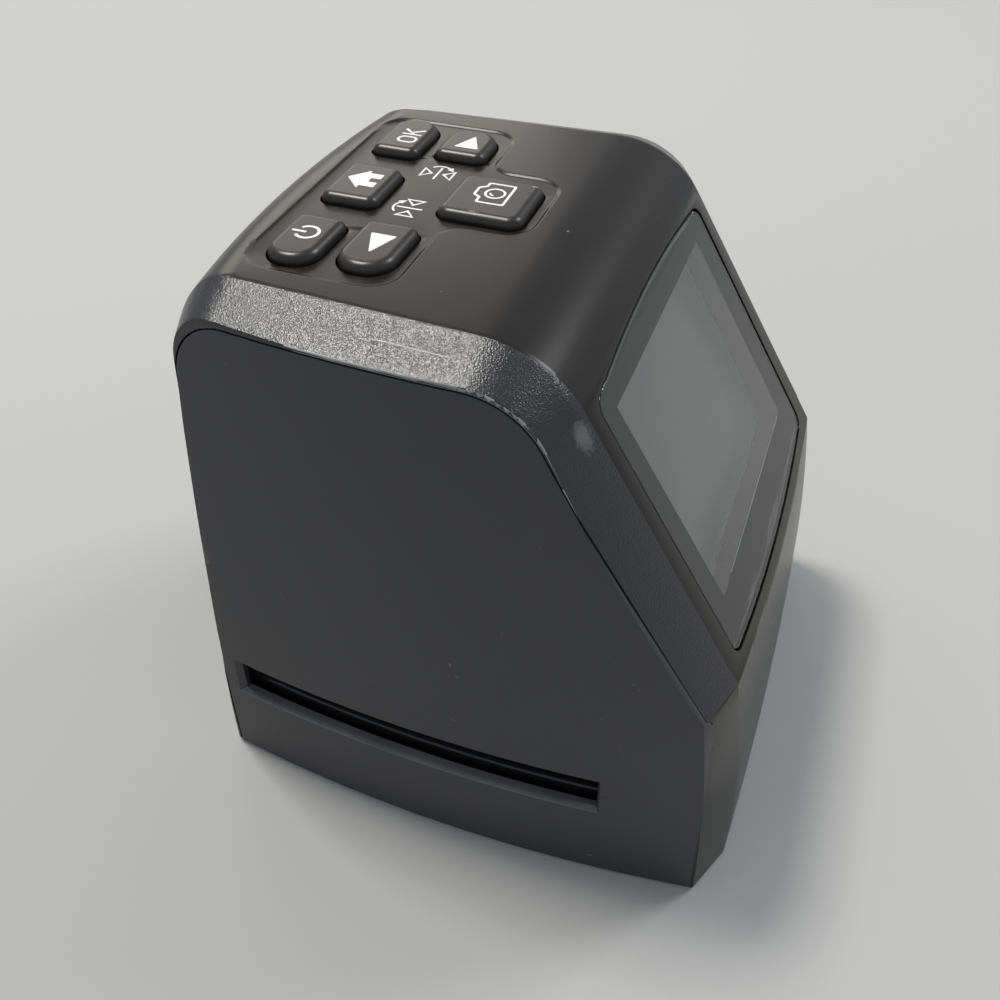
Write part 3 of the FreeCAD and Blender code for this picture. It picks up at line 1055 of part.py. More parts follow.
NODES = [
    "housing_wrap", "side_panel_left", "side_panel_right", "display_lens", "lens_tape_frame", "lcd_frame", "lcd_panel",
    "lcd_backlight", "main_board", "main_board_screws", "main_chips", "key_power", "key_ok", "key_home", "key_left",
    "key_right", "key_camera", "key_board", "key_board_screws", "key_switches", "base_plate", "rubber_feet", "base_screws",
    "film_bed", "film_guide_upper", "guide_screws", "detent_springs", "led_board", "led_board_screws", "backlight_leds",
    "light_box", "diffuser", "lens_tower", "tower_screws", "lens_holder", "lens_barrel", "lens_element", "ir_filter",
    "image_sensor", "sensor_board", "sensor_screws", "rear_board", "rear_board_screws", "usb_socket", "card_socket",
    "video_socket", "key_flex", "sensor_flex", "rear_flex",
]
for thing in doc.Objects:
    for state in thing.State:
        if state in ("Invalid", "Error"):
            raise RuntimeError("%s is %s" % (thing.Label, state))
os.makedirs("parts", exist_ok=True)
for label in NODES:
    found = doc.getObjectsByLabel(label)
    if len(found) != 1:
        raise RuntimeError("%s found %d times" % (label, len(found)))
    shape = found[0].Shape
    if shape.isNull() or not shape.isValid():
        raise RuntimeError(label + " has no sound shape")
    shape.exportStep("parts/" + label + ".step")
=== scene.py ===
import math
import bmesh
import bpy
from mathutils import Matrix, Vector
from mathutils.geometry import tessellate_polygon


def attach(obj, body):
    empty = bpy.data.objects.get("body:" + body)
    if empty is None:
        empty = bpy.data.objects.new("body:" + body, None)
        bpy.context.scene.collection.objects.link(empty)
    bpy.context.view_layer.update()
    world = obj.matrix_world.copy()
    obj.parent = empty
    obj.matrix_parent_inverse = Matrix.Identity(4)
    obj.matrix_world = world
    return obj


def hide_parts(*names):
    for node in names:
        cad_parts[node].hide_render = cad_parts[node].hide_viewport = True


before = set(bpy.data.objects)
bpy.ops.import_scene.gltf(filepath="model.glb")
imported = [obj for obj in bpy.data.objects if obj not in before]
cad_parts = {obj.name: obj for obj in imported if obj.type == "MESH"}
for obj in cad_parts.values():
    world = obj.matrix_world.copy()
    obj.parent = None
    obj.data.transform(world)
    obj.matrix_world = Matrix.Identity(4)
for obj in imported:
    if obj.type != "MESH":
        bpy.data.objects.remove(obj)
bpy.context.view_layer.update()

# The place where the scanner stands: a plain pale table top under a soft lamp overhead, with a weak
# wide lamp beyond it and one before it, seen by a person who stands at its left front corner.
MM = 0.001
EYE_PLACE = Vector((-145.51, -48.03, 177.40)) * MM
EYE_TURN = ((0.34576, 0.62772, -0.69743), (-0.93831, 0.22692, -0.26094), (-0.00554, 0.74463, 0.66745))
EYE_LENS, EYE_SENSOR, EYE_NEAR = 39.10, 36.0, 0.01
TABLE_HALF, TABLE_COLOUR, TABLE_ROUGHNESS = 3.0, (0.46, 0.46, 0.45), 0.85
ROOM_COLOUR, ROOM_GLOW = (0.90, 0.94, 1.0, 1), 0.46
LAMPS = {  # place, width, depth, power, colour
    "lamp_overhead": ((0.15, 0.54, 1.35), 0.30, 0.36, 14.0, (1.0, 0.98, 0.93)),
    "lamp_beyond": ((1.17, 0.80, 0.58), 0.85, 0.45, 2.6, (1.0, 0.90, 0.80)),
    "lamp_before": ((0.93, -0.86, 1.15), 0.5, 0.5, 9.0, (0.97, 0.98, 1.0)),
}

eye = bpy.data.objects.new("eye", bpy.data.cameras.new("eye"))
eye.data.lens, eye.data.sensor_width, eye.data.clip_start = EYE_LENS, EYE_SENSOR, EYE_NEAR
eye.matrix_world = Matrix.Translation(EYE_PLACE) @ Matrix(EYE_TURN).to_4x4()
bpy.context.scene.collection.objects.link(eye)
bpy.context.scene.camera = eye
bpy.context.scene.view_settings.view_transform = "Standard"


def add_node(tree, kind, inputs=None, **settings):
    """Puts a node in a tree, with its settings, and sets or joins its inputs."""
    node = tree.nodes.new(kind)
    for key, value in settings.items():
        setattr(node, key, value)
    for socket, value in (inputs or {}).items():
        if isinstance(value, bpy.types.NodeSocket):
            tree.links.new(value, node.inputs[socket])
        else:
            node.inputs[socket].default_value = value
    return node


def finish_of(name, colour, roughness, **values):
    """A material with its shader's plain values set, ready for what changes over the surface."""
    finish = bpy.data.materials.new(name)
    finish.use_nodes = True
    shader = finish.node_tree.nodes["Principled BSDF"]
    shader.inputs["Base Color"].default_value = (*colour, 1)
    shader.inputs["Roughness"].default_value = roughness
    for socket, value in values.items():
        shader.inputs[socket.replace("_", " ").title().replace("Ior", "IOR")].default_value = value
    return finish, finish.node_tree, shader


table_mesh = bpy.data.meshes.new("table_top")
table_corners = [(x * TABLE_HALF, y * TABLE_HALF, 0) for x, y in ((-1, -1), (1, -1), (1, 1), (-1, 1))]
table_mesh.from_pydata(table_corners, [], [(0, 1, 2, 3)])
table = bpy.data.objects.new("table_top", table_mesh)
bpy.context.scene.collection.objects.link(table)
table_finish, tree, shader = finish_of("table_laminate", TABLE_COLOUR, TABLE_ROUGHNESS)
table_mesh.materials.append(table_finish)

for name, (place, width, depth, power, colour) in LAMPS.items():
    lamp = bpy.data.objects.new(name, bpy.data.lights.new(name, "AREA"))
    lamp.data.shape, lamp.data.size, lamp.data.size_y = "RECTANGLE", width, depth
    lamp.data.energy, lamp.data.color = power, colour
    aim = (-Vector(place)).to_track_quat("-Z", "Y").to_matrix().to_4x4()
    lamp.matrix_world = Matrix.Translation(place) @ aim
    bpy.context.scene.collection.objects.link(lamp)

room = bpy.data.worlds.new("room")
room.use_nodes = True
bpy.context.scene.world = room
room.node_tree.nodes["Background"].inputs["Color"].default_value = ROOM_COLOUR
room.node_tree.nodes["Background"].inputs["Strength"].default_value = ROOM_GLOW


# The outer skin: one moulding in black ABS that runs over the front, slope, top and back. The middle
# has a fine satin spark finish. A tilted band along each side has a leather grain; its outer edge is painted
# pale, partly as rubbed wear and partly as a painted highlight line, and a pale bluish patch on the band near
# the front, where it turns down to the slope, is a painted sheen. It stands on the base plate and holds both side
# panels.
CREASE_X, CREASE_RUN = 33.2, math.tan(math.radians(2.95))
CREASE_SOFTNESS, EDGE_SOFTNESS, WORN_HIGHLIGHT_SOFTNESS = 0.55 * MM, 0.12 * MM, 0.15 * MM
CREASE_ANGLE, CREASE_PLAY, SHARP_ANGLE, WORN_HIGHLIGHT_ANGLE, SHADING_ANGLE = 6.0, 0.03 * MM, 28.0, 40.0, 38.0
SKIN_COLOUR, BAND_COLOUR = (0.0100, 0.0086, 0.0076), (0.014, 0.014, 0.0175)
# The pale colour of the band's outer edge: partly rubbed wear, partly a painted highlight line.
RUBBED_AND_HIGHLIGHT_COLOUR = (0.30, 0.30, 0.305)
FINE_CELL, LEATHER_CELL, LEATHER_DEPTH, DRIFT_SCALE = 0.16 * MM, 0.23 * MM, 0.095 * MM, 60.0
SPECK_EDGE, SCUFF_AND_SHEEN_EDGE = (0.06, 0.18), (0.85, 1.35)
JOIN_DISTANCE, SLIVER, FLAT_ANGLE, EDGE_ROOM, SHARED_ROOM = 0.002 * MM, 0.001 * MM, 0.05, 1.1, 2.2
BAND_KNEE_Z, BAND_START, BAND_TILTS = 50.0, 0.05 * MM, (0.2, 0.6)
EDGE_LEAST_X, EDGE_LEAST_Z, WORN_HIGHLIGHT_BACK_Y, RUBBED_HIGHLIGHT_BACK_Y, SIDE_FACING = 36.0, 46.0, 38, 20, 0.9
CURVED_TOP_Z, RECESS_FLOOR, RECESS_SHORE, FLOOR_PLAY, WALL_LEAN = 97.9, 98.2, 0.55 * MM, 0.01 * MM, 0.1
JOINT_CLOSED_Z, JOINT_TAPER, JOINT_FRONT_Y, JOINT_LEAST_X = 50.0, 3.0, -40, 38
NUMBER, VECTOR = "NodeSocketFloat", "NodeSocketVector"


def group_of(name, inputs, outputs):
    """An empty shader node group with named sockets, each with its kind and first value."""
    group = bpy.data.node_groups.new(name, "ShaderNodeTree")
    for label, kind, value in inputs:
        group.interface.new_socket(label, in_out="INPUT", socket_type=kind).default_value = value
    for label, kind in outputs:
        group.interface.new_socket(label, in_out="OUTPUT", socket_type=kind)
    return group, group.nodes.new("NodeGroupInput"), group.nodes.new("NodeGroupOutput")


def maths(tree, first, second, operation, kind="ShaderNodeMath"):
    """One sum of two numbers or vectors."""
    return add_node(tree, kind, {0: first, 1: second}, operation=operation).outputs[0]


def ranged(tree, value, low, high, start=0.0, end=1.0):
    """Brings a value that runs from start to end to the range from low to high."""
    return add_node(tree, "ShaderNodeMapRange", {
        "Value": value, "From Min": start, "From Max": end, "To Min": low, "To Max": high}).outputs[0]


def blended(tree, share, low, high):
    """Mixes two colours, each a plain one or the result of another node."""
    low, high = [c if isinstance(c, bpy.types.NodeSocket) else (*c, 1) for c in (low, high)]
    return add_node(tree, "ShaderNodeMix", {0: share, 6: low, 7: high}, data_type="RGBA").outputs[2]


grain_group, given, result = group_of(
    "moulded_grain", [("Cell Size", NUMBER, 0.0004), ("Roughness", NUMBER, 0.6), ("Pebbling", NUMBER, 0.5)],
    [("Height", NUMBER), ("Tone", NUMBER)])
spot = add_node(grain_group, "ShaderNodeTexCoord").outputs["Object"]
scale = maths(grain_group, 1.0, given.outputs["Cell Size"], "DIVIDE")
noise = add_node(grain_group, "ShaderNodeTexNoise", {
    "Vector": spot, "Scale": scale, "Detail": 3.0, "Roughness": given.outputs["Roughness"]}).outputs["Fac"]
pebble = add_node(grain_group, "ShaderNodeTexVoronoi", {"Vector": spot, "Scale": scale},
                  feature="SMOOTH_F1").outputs["Distance"]
mixed = add_node(grain_group, "ShaderNodeMix", {0: given.outputs["Pebbling"], 2: noise, 3: pebble}).outputs[0]
grain_group.links.new(mixed, result.inputs["Height"])
broad = add_node(grain_group, "ShaderNodeTexNoise", {
    "Vector": spot, "Scale": DRIFT_SCALE, "Detail": 2.0}).outputs["Fac"]
grain_group.links.new(broad, result.inputs["Tone"])

speck_group, given, result = group_of(
    "pale_specks", [("Speck Size", NUMBER, 0.001), ("Cover", NUMBER, 0.02)], [("Mask", NUMBER)])
spot = add_node(speck_group, "ShaderNodeTexCoord").outputs["Object"]
scale = maths(speck_group, 1.0, given.outputs["Speck Size"], "DIVIDE")
cells = add_node(speck_group, "ShaderNodeTexVoronoi", {"Vector": spot, "Scale": scale})
chance = add_node(speck_group, "ShaderNodeSeparateXYZ", {0: cells.outputs["Color"]}).outputs[0]
kept = maths(speck_group, chance, given.outputs["Cover"], "LESS_THAN")
near = ranged(speck_group, cells.outputs["Distance"], 1.0, 0.0, *SPECK_EDGE)
speck_group.links.new(maths(speck_group, near, kept, "MULTIPLY"), result.inputs["Mask"])

# A pale patch with a broken edge, used both for scuffs and for painted sheen.
scuff_and_sheen_group, given, result = group_of(
    "scuffed_spot", [("Middle", VECTOR, (0, 0, 0)), ("Reach", VECTOR, (1, 1, 1)), ("Breakup", NUMBER, 0.0006)],
    [("Mask", NUMBER)])
spot = add_node(scuff_and_sheen_group, "ShaderNodeTexCoord").outputs["Object"]
away = maths(scuff_and_sheen_group, spot, given.outputs["Middle"], "SUBTRACT", "ShaderNodeVectorMath")
away = maths(scuff_and_sheen_group, away, given.outputs["Reach"], "DIVIDE", "ShaderNodeVectorMath")
away = add_node(scuff_and_sheen_group, "ShaderNodeVectorMath", {0: away}, operation="LENGTH").outputs["Value"]
scale = maths(scuff_and_sheen_group, 1.0, given.outputs["Breakup"], "DIVIDE")
noise = add_node(scuff_and_sheen_group, "ShaderNodeTexNoise", {"Vector": spot, "Scale": scale, "Detail": 3.0}).outputs["Fac"]
edge = maths(scuff_and_sheen_group, away, noise, "ADD")
scuff_and_sheen_group.links.new(ranged(scuff_and_sheen_group, edge, 1.0, 0.0, *SCUFF_AND_SHEEN_EDGE), result.inputs["Mask"])


def moulded_finish(name, colour, roughness, cell, depth, pebbling=0.3, spread=0.12, specks=(0.0012, 0.012),
                   speck_colour=(0.10, 0.10, 0.10), scuffs_and_sheen=(), **values):
    """Moulded plastic: grain in its height, a slow drift in its tone, pale specks, scuffed spots and painted sheen
    patches.
    """
    finish, tree, shader = finish_of(name, colour, roughness, **values)
    grain = add_node(tree, "ShaderNodeGroup", None, node_tree=grain_group)
    grain.inputs["Cell Size"].default_value, grain.inputs["Pebbling"].default_value = cell, pebbling
    bump = add_node(tree, "ShaderNodeBump", {"Height": grain.outputs["Height"], "Strength": 1.0, "Distance": depth})
    tree.links.new(bump.outputs[0], shader.inputs["Normal"])
    dust = add_node(tree, "ShaderNodeGroup", None, node_tree=speck_group)
    dust.inputs["Speck Size"].default_value, dust.inputs["Cover"].default_value = specks
    low, high = [[c * (1 + way * spread) for c in colour] for way in (-1, 1)]
    tone = blended(tree, grain.outputs["Tone"], low, high)
    tone = blended(tree, dust.outputs["Mask"], tone, speck_colour)
    for middle, reach, worn_and_highlight in scuffs_and_sheen:
        patch = add_node(tree, "ShaderNodeGroup", None, node_tree=scuff_and_sheen_group)
        patch.inputs["Middle"].default_value = [c * MM for c in middle]
        patch.inputs["Reach"].default_value = [c * MM for c in reach]
        tone = blended(tree, patch.outputs["Mask"], tone, worn_and_highlight)
    tree.links.new(tone, shader.inputs["Base Color"])
    rough = ranged(tree, grain.outputs["Tone"], roughness * 0.92, roughness * 1.08)
    tree.links.new(rough, shader.inputs["Roughness"])
    return finish


SKIN_SCUFFS = [  # middle, reach, colour
    ((-2.5, -5.8, 98.5), (0.5, 0.35, 0.5), (0.16, 0.15, 0.14)),
    ((-11.4, -7.4, 98.5), (0.35, 0.5, 0.5), (0.14, 0.13, 0.12)),
    ((-17.9, -13.8, 98.5), (0.4, 0.3, 0.5), (0.12, 0.11, 0.10))]
# Band patches: the first, pale and bluish where the band turns down to the slope, is a painted sheen; the second
# paints a thin paler line along the middle of the band.
BAND_SCUFFS_AND_SHEEN = [
    ((-36.2, -19.0, 87.6), (2.0, 2.4, 4.0), (0.10, 0.102, 0.112)),
    ((-37.2, 5.5, 96.8), (2.2, 9.0, 0.07), (0.035, 0.035, 0.038))]
skin_satin = moulded_finish("skin_satin", SKIN_COLOUR, 0.28, FINE_CELL, 0.006 * MM, specular_ior_level=0.35,
                            scuffs_and_sheen=SKIN_SCUFFS)
skin_leather = moulded_finish("skin_leather", BAND_COLOUR, 0.27, LEATHER_CELL, LEATHER_DEPTH, pebbling=0.6,
                              specular_ior_level=0.65, specks=(0.0015, 0.0), scuffs_and_sheen=BAND_SCUFFS_AND_SHEEN)
# Pale finish on the band's outer edge: partly rubbed wear and partly a painted highlight line.
skin_rubbed = moulded_finish("skin_rubbed", RUBBED_AND_HIGHLIGHT_COLOUR, 0.40, 0.3 * MM, 0.05 * MM, spread=0.9)


def merged(node, plain_below=1.0):
    """The frame's loose triangles of one node as a closed mesh; below that height flat areas are one face."""
    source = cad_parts[node].data
    mesh = bpy.data.meshes.new(node + "_form")
    mesh.from_pydata([v.co for v in source.vertices], [], [tuple(p.vertices) for p in source.polygons])
    form = bmesh.new()
    form.from_mesh(mesh)
    bmesh.ops.remove_doubles(form, verts=form.verts, dist=JOIN_DISTANCE)
    bmesh.ops.dissolve_degenerate(form, dist=SLIVER, edges=form.edges)
    bpy.data.meshes.remove(mesh)
    verts = [v for v in form.verts if v.co.z < plain_below]
    edges = [e for e in form.edges if all(v.co.z < plain_below for v in e.verts)]
    bmesh.ops.dissolve_limit(form, angle_limit=math.radians(FLAT_ANGLE), verts=verts, edges=edges)
    return form


def crease_at(y):
    """How far from the middle the crease between top and band lies there."""
    return (CREASE_X - CREASE_RUN * y / MM) * MM


def softened(form, chosen, width, steps=2, index=0):
    """Rounds the chosen edges that have room beside them; the new faces get that material index."""
    picked, corners = set(chosen), {v for e in chosen for v in e.verts}
    roomy = []
    for edge in chosen:
        beside = [e for v in edge.verts for e in v.link_edges if e not in picked]
        rooms = [SHARED_ROOM if all(v in corners for v in e.verts) else EDGE_ROOM for e in beside]
        if all(e.calc_length() > room * width for e, room in zip(beside, rooms)):
            roomy.append(edge)
    bmesh.ops.bevel(form, geom=roomy, offset=width, offset_type="OFFSET", segments=steps, profile=0.5,
                    affect="EDGES", clamp_overlap=False, material=index)


def sharp_edges(form, least=SHARP_ANGLE):
    """The edges between two faces that turn by more than the least angle."""
    return [e for e in form.edges if len(e.link_faces) == 2 and e.calc_face_angle(0) > math.radians(least)]


def free_edges(form):
    """The sharp edges without those of the joint at the lower front, where panel and skin close up."""
    return [e for e in sharp_edges(form) if not all(
        v.co.y < JOINT_FRONT_Y * MM and v.co.z < JOINT_CLOSED_Z * MM and abs(v.co.x) > JOINT_LEAST_X * MM
        for v in e.verts)]


def set_down(name, form, finishes, body, slot, *nodes):
    """Makes the form an object that rides on its body, in place of the frame's own nodes."""
    # The bevels leave points and faces in an order that changes from run to run, so both are sorted.
    for row, place in ((form.verts, lambda v: v.co[:]), (form.faces, lambda f: f.calc_center_median()[:])):
        order = {item: i for i, item in enumerate(sorted(row, key=place))}
        row.sort(key=order.get)
    mesh = bpy.data.meshes.new(name)
    form.to_mesh(mesh)
    form.free()
    mesh.shade_smooth()
    mesh.set_sharp_from_angle(angle=math.radians(SHADING_ANGLE))
    for finish in finishes:
        mesh.materials.append(finish)
    piece = bpy.data.objects.new(name, mesh)
    bpy.context.scene.collection.objects.link(piece)
    weight = piece.modifiers.new("even_shading", "WEIGHTED_NORMAL")
    weight.keep_sharp = True
    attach(piece, body)
    if nodes:
        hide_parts(*nodes)
    return piece


form = merged("housing_wrap", CURVED_TOP_Z * MM)
for vertex in form.verts:
    walls = [f.normal for f in vertex.link_faces if abs(f.normal.z) < WALL_LEAN
             and f.calc_center_median().z > RECESS_FLOOR * MM]
    if walls and abs(vertex.co.z - RECESS_FLOOR * MM) < FLOOR_PLAY:
        vertex.co += sum(walls, Vector()).normalized() * RECESS_SHORE
form.normal_update()
on_crease = [e for e in sharp_edges(form, CREASE_ANGLE)
             if all(abs(abs(v.co.x) - crease_at(v.co.y)) < CREASE_PLAY for v in e.verts)]
softened(form, on_crease, CREASE_SOFTNESS, 3)
# The sharp edges along the band's outer edge and the side faces beside them take the pale colour: partly rubbed
# wear, partly a painted highlight line.
worn_and_highlight = [e for e in sharp_edges(form, WORN_HIGHLIGHT_ANGLE)
        if all(abs(v.co.x) > EDGE_LEAST_X * MM and v.co.z > EDGE_LEAST_Z * MM and v.co.y < WORN_HIGHLIGHT_BACK_Y * MM
               for v in e.verts)]
for face in {f for e in worn_and_highlight for f in e.link_faces if abs(f.normal.x) > SIDE_FACING}:
    if any(e in worn_and_highlight and BAND_TILTS[0] < abs(f.normal.x) < BAND_TILTS[1] for e in face.edges for f in e.link_faces):
        face.material_index = 2
softened(form, worn_and_highlight, WORN_HIGHLIGHT_SOFTNESS, 3, 2)
softened(form, free_edges(form), EDGE_SOFTNESS)
for face in form.faces:
    middle = face.calc_center_median()
    outside = abs(middle.x) > crease_at(middle.y) + BAND_START
    if face.material_index == 0 and outside and (middle.z > BAND_KNEE_Z * MM or middle.y > 0):
        face.material_index = 1
    elif face.material_index == 2 and (middle.y > RUBBED_HIGHLIGHT_BACK_Y * MM or middle.x > 0):
        face.material_index = 1
set_down("skin", form, [skin_satin, skin_leather, skin_rubbed], "scanner_body", "skin_plastic", "housing_wrap")


# The two side panels: bowed ABS mouldings, 2 mm thick, that drop into a recess in the skin with a
# hairline gap around them. Each has the long film slot low down, with a narrow chamfered lip whose
# upward faces are coloured paler.
PANEL_COLOUR, LIP_COLOUR = (0.038, 0.038, 0.043), (0.13, 0.13, 0.135)
LIP_LOW, LIP_HIGH, LIP_FACING, JOINT_SHIFT = 17.7, 18.7, 0.2, 0.23 * MM
PANEL_SCUFFS = [
    ((-46.8, -2.6, 46.0), (0.8, 0.35, 0.7), (0.14, 0.14, 0.14)),
    ((-47.4, -2.9, 32.9), (0.8, 0.6, 0.4), (0.09, 0.09, 0.09)),
    ((-46.6, -27.3, 4.3), (0.8, 0.7, 0.25), (0.20, 0.20, 0.20)),
    ((-46.8, -3.6, 43.6), (0.8, 0.9, 0.35), (0.08, 0.08, 0.08))]
panel_satin = moulded_finish("panel_satin", PANEL_COLOUR, 0.48, FINE_CELL, 0.010 * MM, specks=(0.0010, 0.035),
                             scuffs_and_sheen=PANEL_SCUFFS)
lip_worn = moulded_finish("lip_worn", LIP_COLOUR, 0.45, 0.5 * MM, 0.03 * MM, spread=0.5)
for side in ("left", "right"):
    form = merged("side_panel_" + side)
    for vertex in form.verts:
        closing = min(1.0, (JOINT_CLOSED_Z - vertex.co.z / MM) / JOINT_TAPER)
        if vertex.co.y < JOINT_FRONT_Y * MM and closing > 0:
            vertex.co.y -= closing * JOINT_SHIFT
    softened(form, free_edges(form), EDGE_SOFTNESS)
    # The lip's upward-facing faces take the paler lip colour.
    for face in form.faces:
        if LIP_LOW < face.calc_center_median().z / MM < LIP_HIGH and face.normal.z > LIP_FACING:
            face.material_index = 1
    set_down("panel_" + side, form, [panel_satin, lip_worn], "scanner_body", "panel_plastic", "side_panel_" + side)


# The window over the display: a clear acrylic plate with blackened edges, held in the pocket of the
# slope by a thin frame of black foam tape. Black paint on its back leaves the opening free; a pale
# line along the lower edge of the opening is a painted highlight.
SLOPE = math.radians(58.67)
SLOPE_MIDDLE = Vector((0, -30.93, 69.57)) * MM
SLOPE_UP = Vector((0, math.cos(SLOPE), math.sin(SLOPE)))
SLOPE_OUT = Vector((0, -math.sin(SLOPE), math.cos(SLOPE)))
MASK_TOP, MASK_LOW, MASK_TOP_HALF, MASK_LOW_HALF = 22.2, -25.0, 30.2, 30.9
OPENING_HALF_X, OPENING_HALF_UP = 25.2, 18.65
MASK_CORNER, OPENING_CORNER, PLATE_BACK, PAINT_TOP, EDGE_LEAN = 2.4, 0.2, -1.5, -1.46, 0.3
STRAIGHT_HALF, CORNER_SHARE = 1.55, 0.45
HIGHLIGHT_FROM, HIGHLIGHT_TO, HIGHLIGHT_LOW, HIGHLIGHT_HIGH, HIGHLIGHT_BACK = -19.5, 23.5, 0.02, 0.2, -1.48
window_clear, tree, shader = finish_of("window_clear", (0.86, 0.89, 0.88), 0.02, transmission_weight=1.0, ior=1.49)
grain = add_node(tree, "ShaderNodeGroup", None, node_tree=grain_group)
tree.links.new(ranged(tree, grain.outputs["Tone"], 0.01, 0.03), shader.inputs["Roughness"])
mask_paint = moulded_finish("mask_paint", (0.009, 0.010, 0.011), 0.45, 0.3 * MM, 0.0001 * MM, specks=(0.002, 0.0))
foam_black = moulded_finish("foam_black", (0.012, 0.012, 0.012), 0.8, 0.3 * MM, 0.02 * MM)
form = merged("display_lens")
for face in form.faces:
    face.material_index = 1 if abs(face.normal.dot(SLOPE_OUT)) < EDGE_LEAN else 0
set_down("window_plate", form, [window_clear, mask_paint], "scanner_body", "window_gloss", "display_lens")


def carried(finish, *nodes):
    """Gives nodes of the fixed frame their finish."""
    for node in nodes:
        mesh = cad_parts[node].data
        mesh.materials.clear()
        mesh.materials.append(finish)


carried(foam_black, "lens_tape_frame")


def on_slope(x, up, out):
    """The place of a point on the slope, measured from the middle of the window."""
    return SLOPE_MIDDLE + Vector((x * MM, 0, 0)) + SLOPE_UP * (up * MM) + SLOPE_OUT * (out * MM)


def layer(name, loops, low, high, place, finish, body, slot):
    """Thin flat figures: in each one the first loop is the outline, the others are cut out of it."""
    form = bmesh.new()
    for figure in loops:
        flat = [[Vector((x, y, 0)) for x, y in loop] for loop in figure]
        bottom = [form.verts.new(place(p.x, p.y, low)) for loop in flat for p in loop]
        top = [form.verts.new(place(p.x, p.y, high)) for loop in flat for p in loop]
        for triple in tessellate_polygon(flat):
            form.faces.new([top[i] for i in triple])
            form.faces.new([bottom[i] for i in reversed(triple)])
        start = 0
        for loop in flat:
            count = len(loop)
            for i in range(count):
                a, b = start + i, start + (i + 1) % count
                form.faces.new([bottom[a], bottom[b], top[b], top[a]])
            start += count
    bmesh.ops.recalc_face_normals(form, faces=form.faces)
    return set_down(name, form, [finish], body, slot)


def rounded_loop(points, radius, steps=5):
    """A closed outline with its corners rounded."""
    loop = []
    count = len(points)
    for i in range(count):
        p, a, b = Vector(points[i]), Vector(points[i - 1]), Vector(points[(i + 1) % count])
        ua, ub = (a - p).normalized(), (b - p).normalized()
        half = ua.angle(ub) / 2
        if radius <= 0 or half > STRAIGHT_HALF:
            loop.append(tuple(p))
            continue
        back = min(radius / math.tan(half), CORNER_SHARE * (a - p).length, CORNER_SHARE * (b - p).length)
        bend = back * math.tan(half)
        centre = p + (ua + ub).normalized() * (bend / math.sin(half))
        first, last = p + ua * back - centre, p + ub * back - centre
        turn = first.angle_signed(last)
        for k in range(steps + 1):
            angle = -turn * k / steps
            loop.append(tuple(centre + Matrix.Rotation(angle, 2) @ first))
    return loop


outline = rounded_loop([(-MASK_LOW_HALF, MASK_LOW), (MASK_LOW_HALF, MASK_LOW), (MASK_TOP_HALF, MASK_TOP),
                        (-MASK_TOP_HALF, MASK_TOP)], MASK_CORNER)
opening = rounded_loop([(-OPENING_HALF_X, -OPENING_HALF_UP), (OPENING_HALF_X, -OPENING_HALF_UP),
                        (OPENING_HALF_X, OPENING_HALF_UP), (-OPENING_HALF_X, OPENING_HALF_UP)], OPENING_CORNER)
layer("window_mask", [[outline, opening]], PLATE_BACK, PAINT_TOP, on_slope, mask_paint,
      "scanner_body", "black_tape")
# A painted highlight: a pale strip along the lower edge of the opening, standing for light caught there.
edge_pale = moulded_finish("edge_pale", (0.55, 0.57, 0.57), 0.4, 0.3 * MM, 0.001 * MM, spread=0.3)
highlight_strip = [(x, up - OPENING_HALF_UP) for x, up in (
    (HIGHLIGHT_FROM, HIGHLIGHT_LOW), (HIGHLIGHT_TO, HIGHLIGHT_LOW), (HIGHLIGHT_TO, HIGHLIGHT_HIGH), (HIGHLIGHT_FROM, HIGHLIGHT_HIGH))]
layer("opening_edge", [[highlight_strip]], HIGHLIGHT_BACK, PAINT_TOP, on_slope, edge_pale, "scanner_body", "black_tape")


# The display behind the window: a glass panel in a thin pressed steel frame, with its light guide
# behind it. Switched off, the glass is a plain greenish grey.
def toned_finish(name, low, high, roughness, **values):
    """A smooth surface whose colour drifts slowly between two tones."""
    finish, tree, shader = finish_of(name, low, roughness, **values)
    grain = add_node(tree, "ShaderNodeGroup", None, node_tree=grain_group)
    tree.links.new(blended(tree, grain.outputs["Tone"], low, high), shader.inputs["Base Color"])
    return finish


def metal_finish(name, colour, roughness, cell, depth):
    """Bare or plated metal with a fine rolled or stamped surface."""
    finish, tree, shader = finish_of(name, colour, roughness, metallic=1.0)
    grain = add_node(tree, "ShaderNodeGroup", None, node_tree=grain_group)
    grain.inputs["Cell Size"].default_value = cell
    bump = add_node(tree, "ShaderNodeBump", {"Height": grain.outputs["Height"], "Strength": 1.0, "Distance": depth})
    tree.links.new(bump.outputs[0], shader.inputs["Normal"])
    rough = ranged(tree, grain.outputs["Tone"], roughness * 0.8, roughness * 1.2)
    tree.links.new(rough, shader.inputs["Roughness"])
    return finish


display_off = toned_finish("display_off", (0.110, 0.118, 0.118), (0.140, 0.148, 0.150), 0.30)
steel_pressed = metal_finish("steel_pressed", (0.62, 0.62, 0.63), 0.32, 0.2 * MM, 0.003 * MM)
guide_acrylic = moulded_finish("guide_acrylic", (0.75, 0.77, 0.78), 0.25, 0.5 * MM, 0.004 * MM)
carried(display_off, "lcd_panel")
carried(steel_pressed, "lcd_frame")
carried(guide_acrylic, "lcd_backlight")


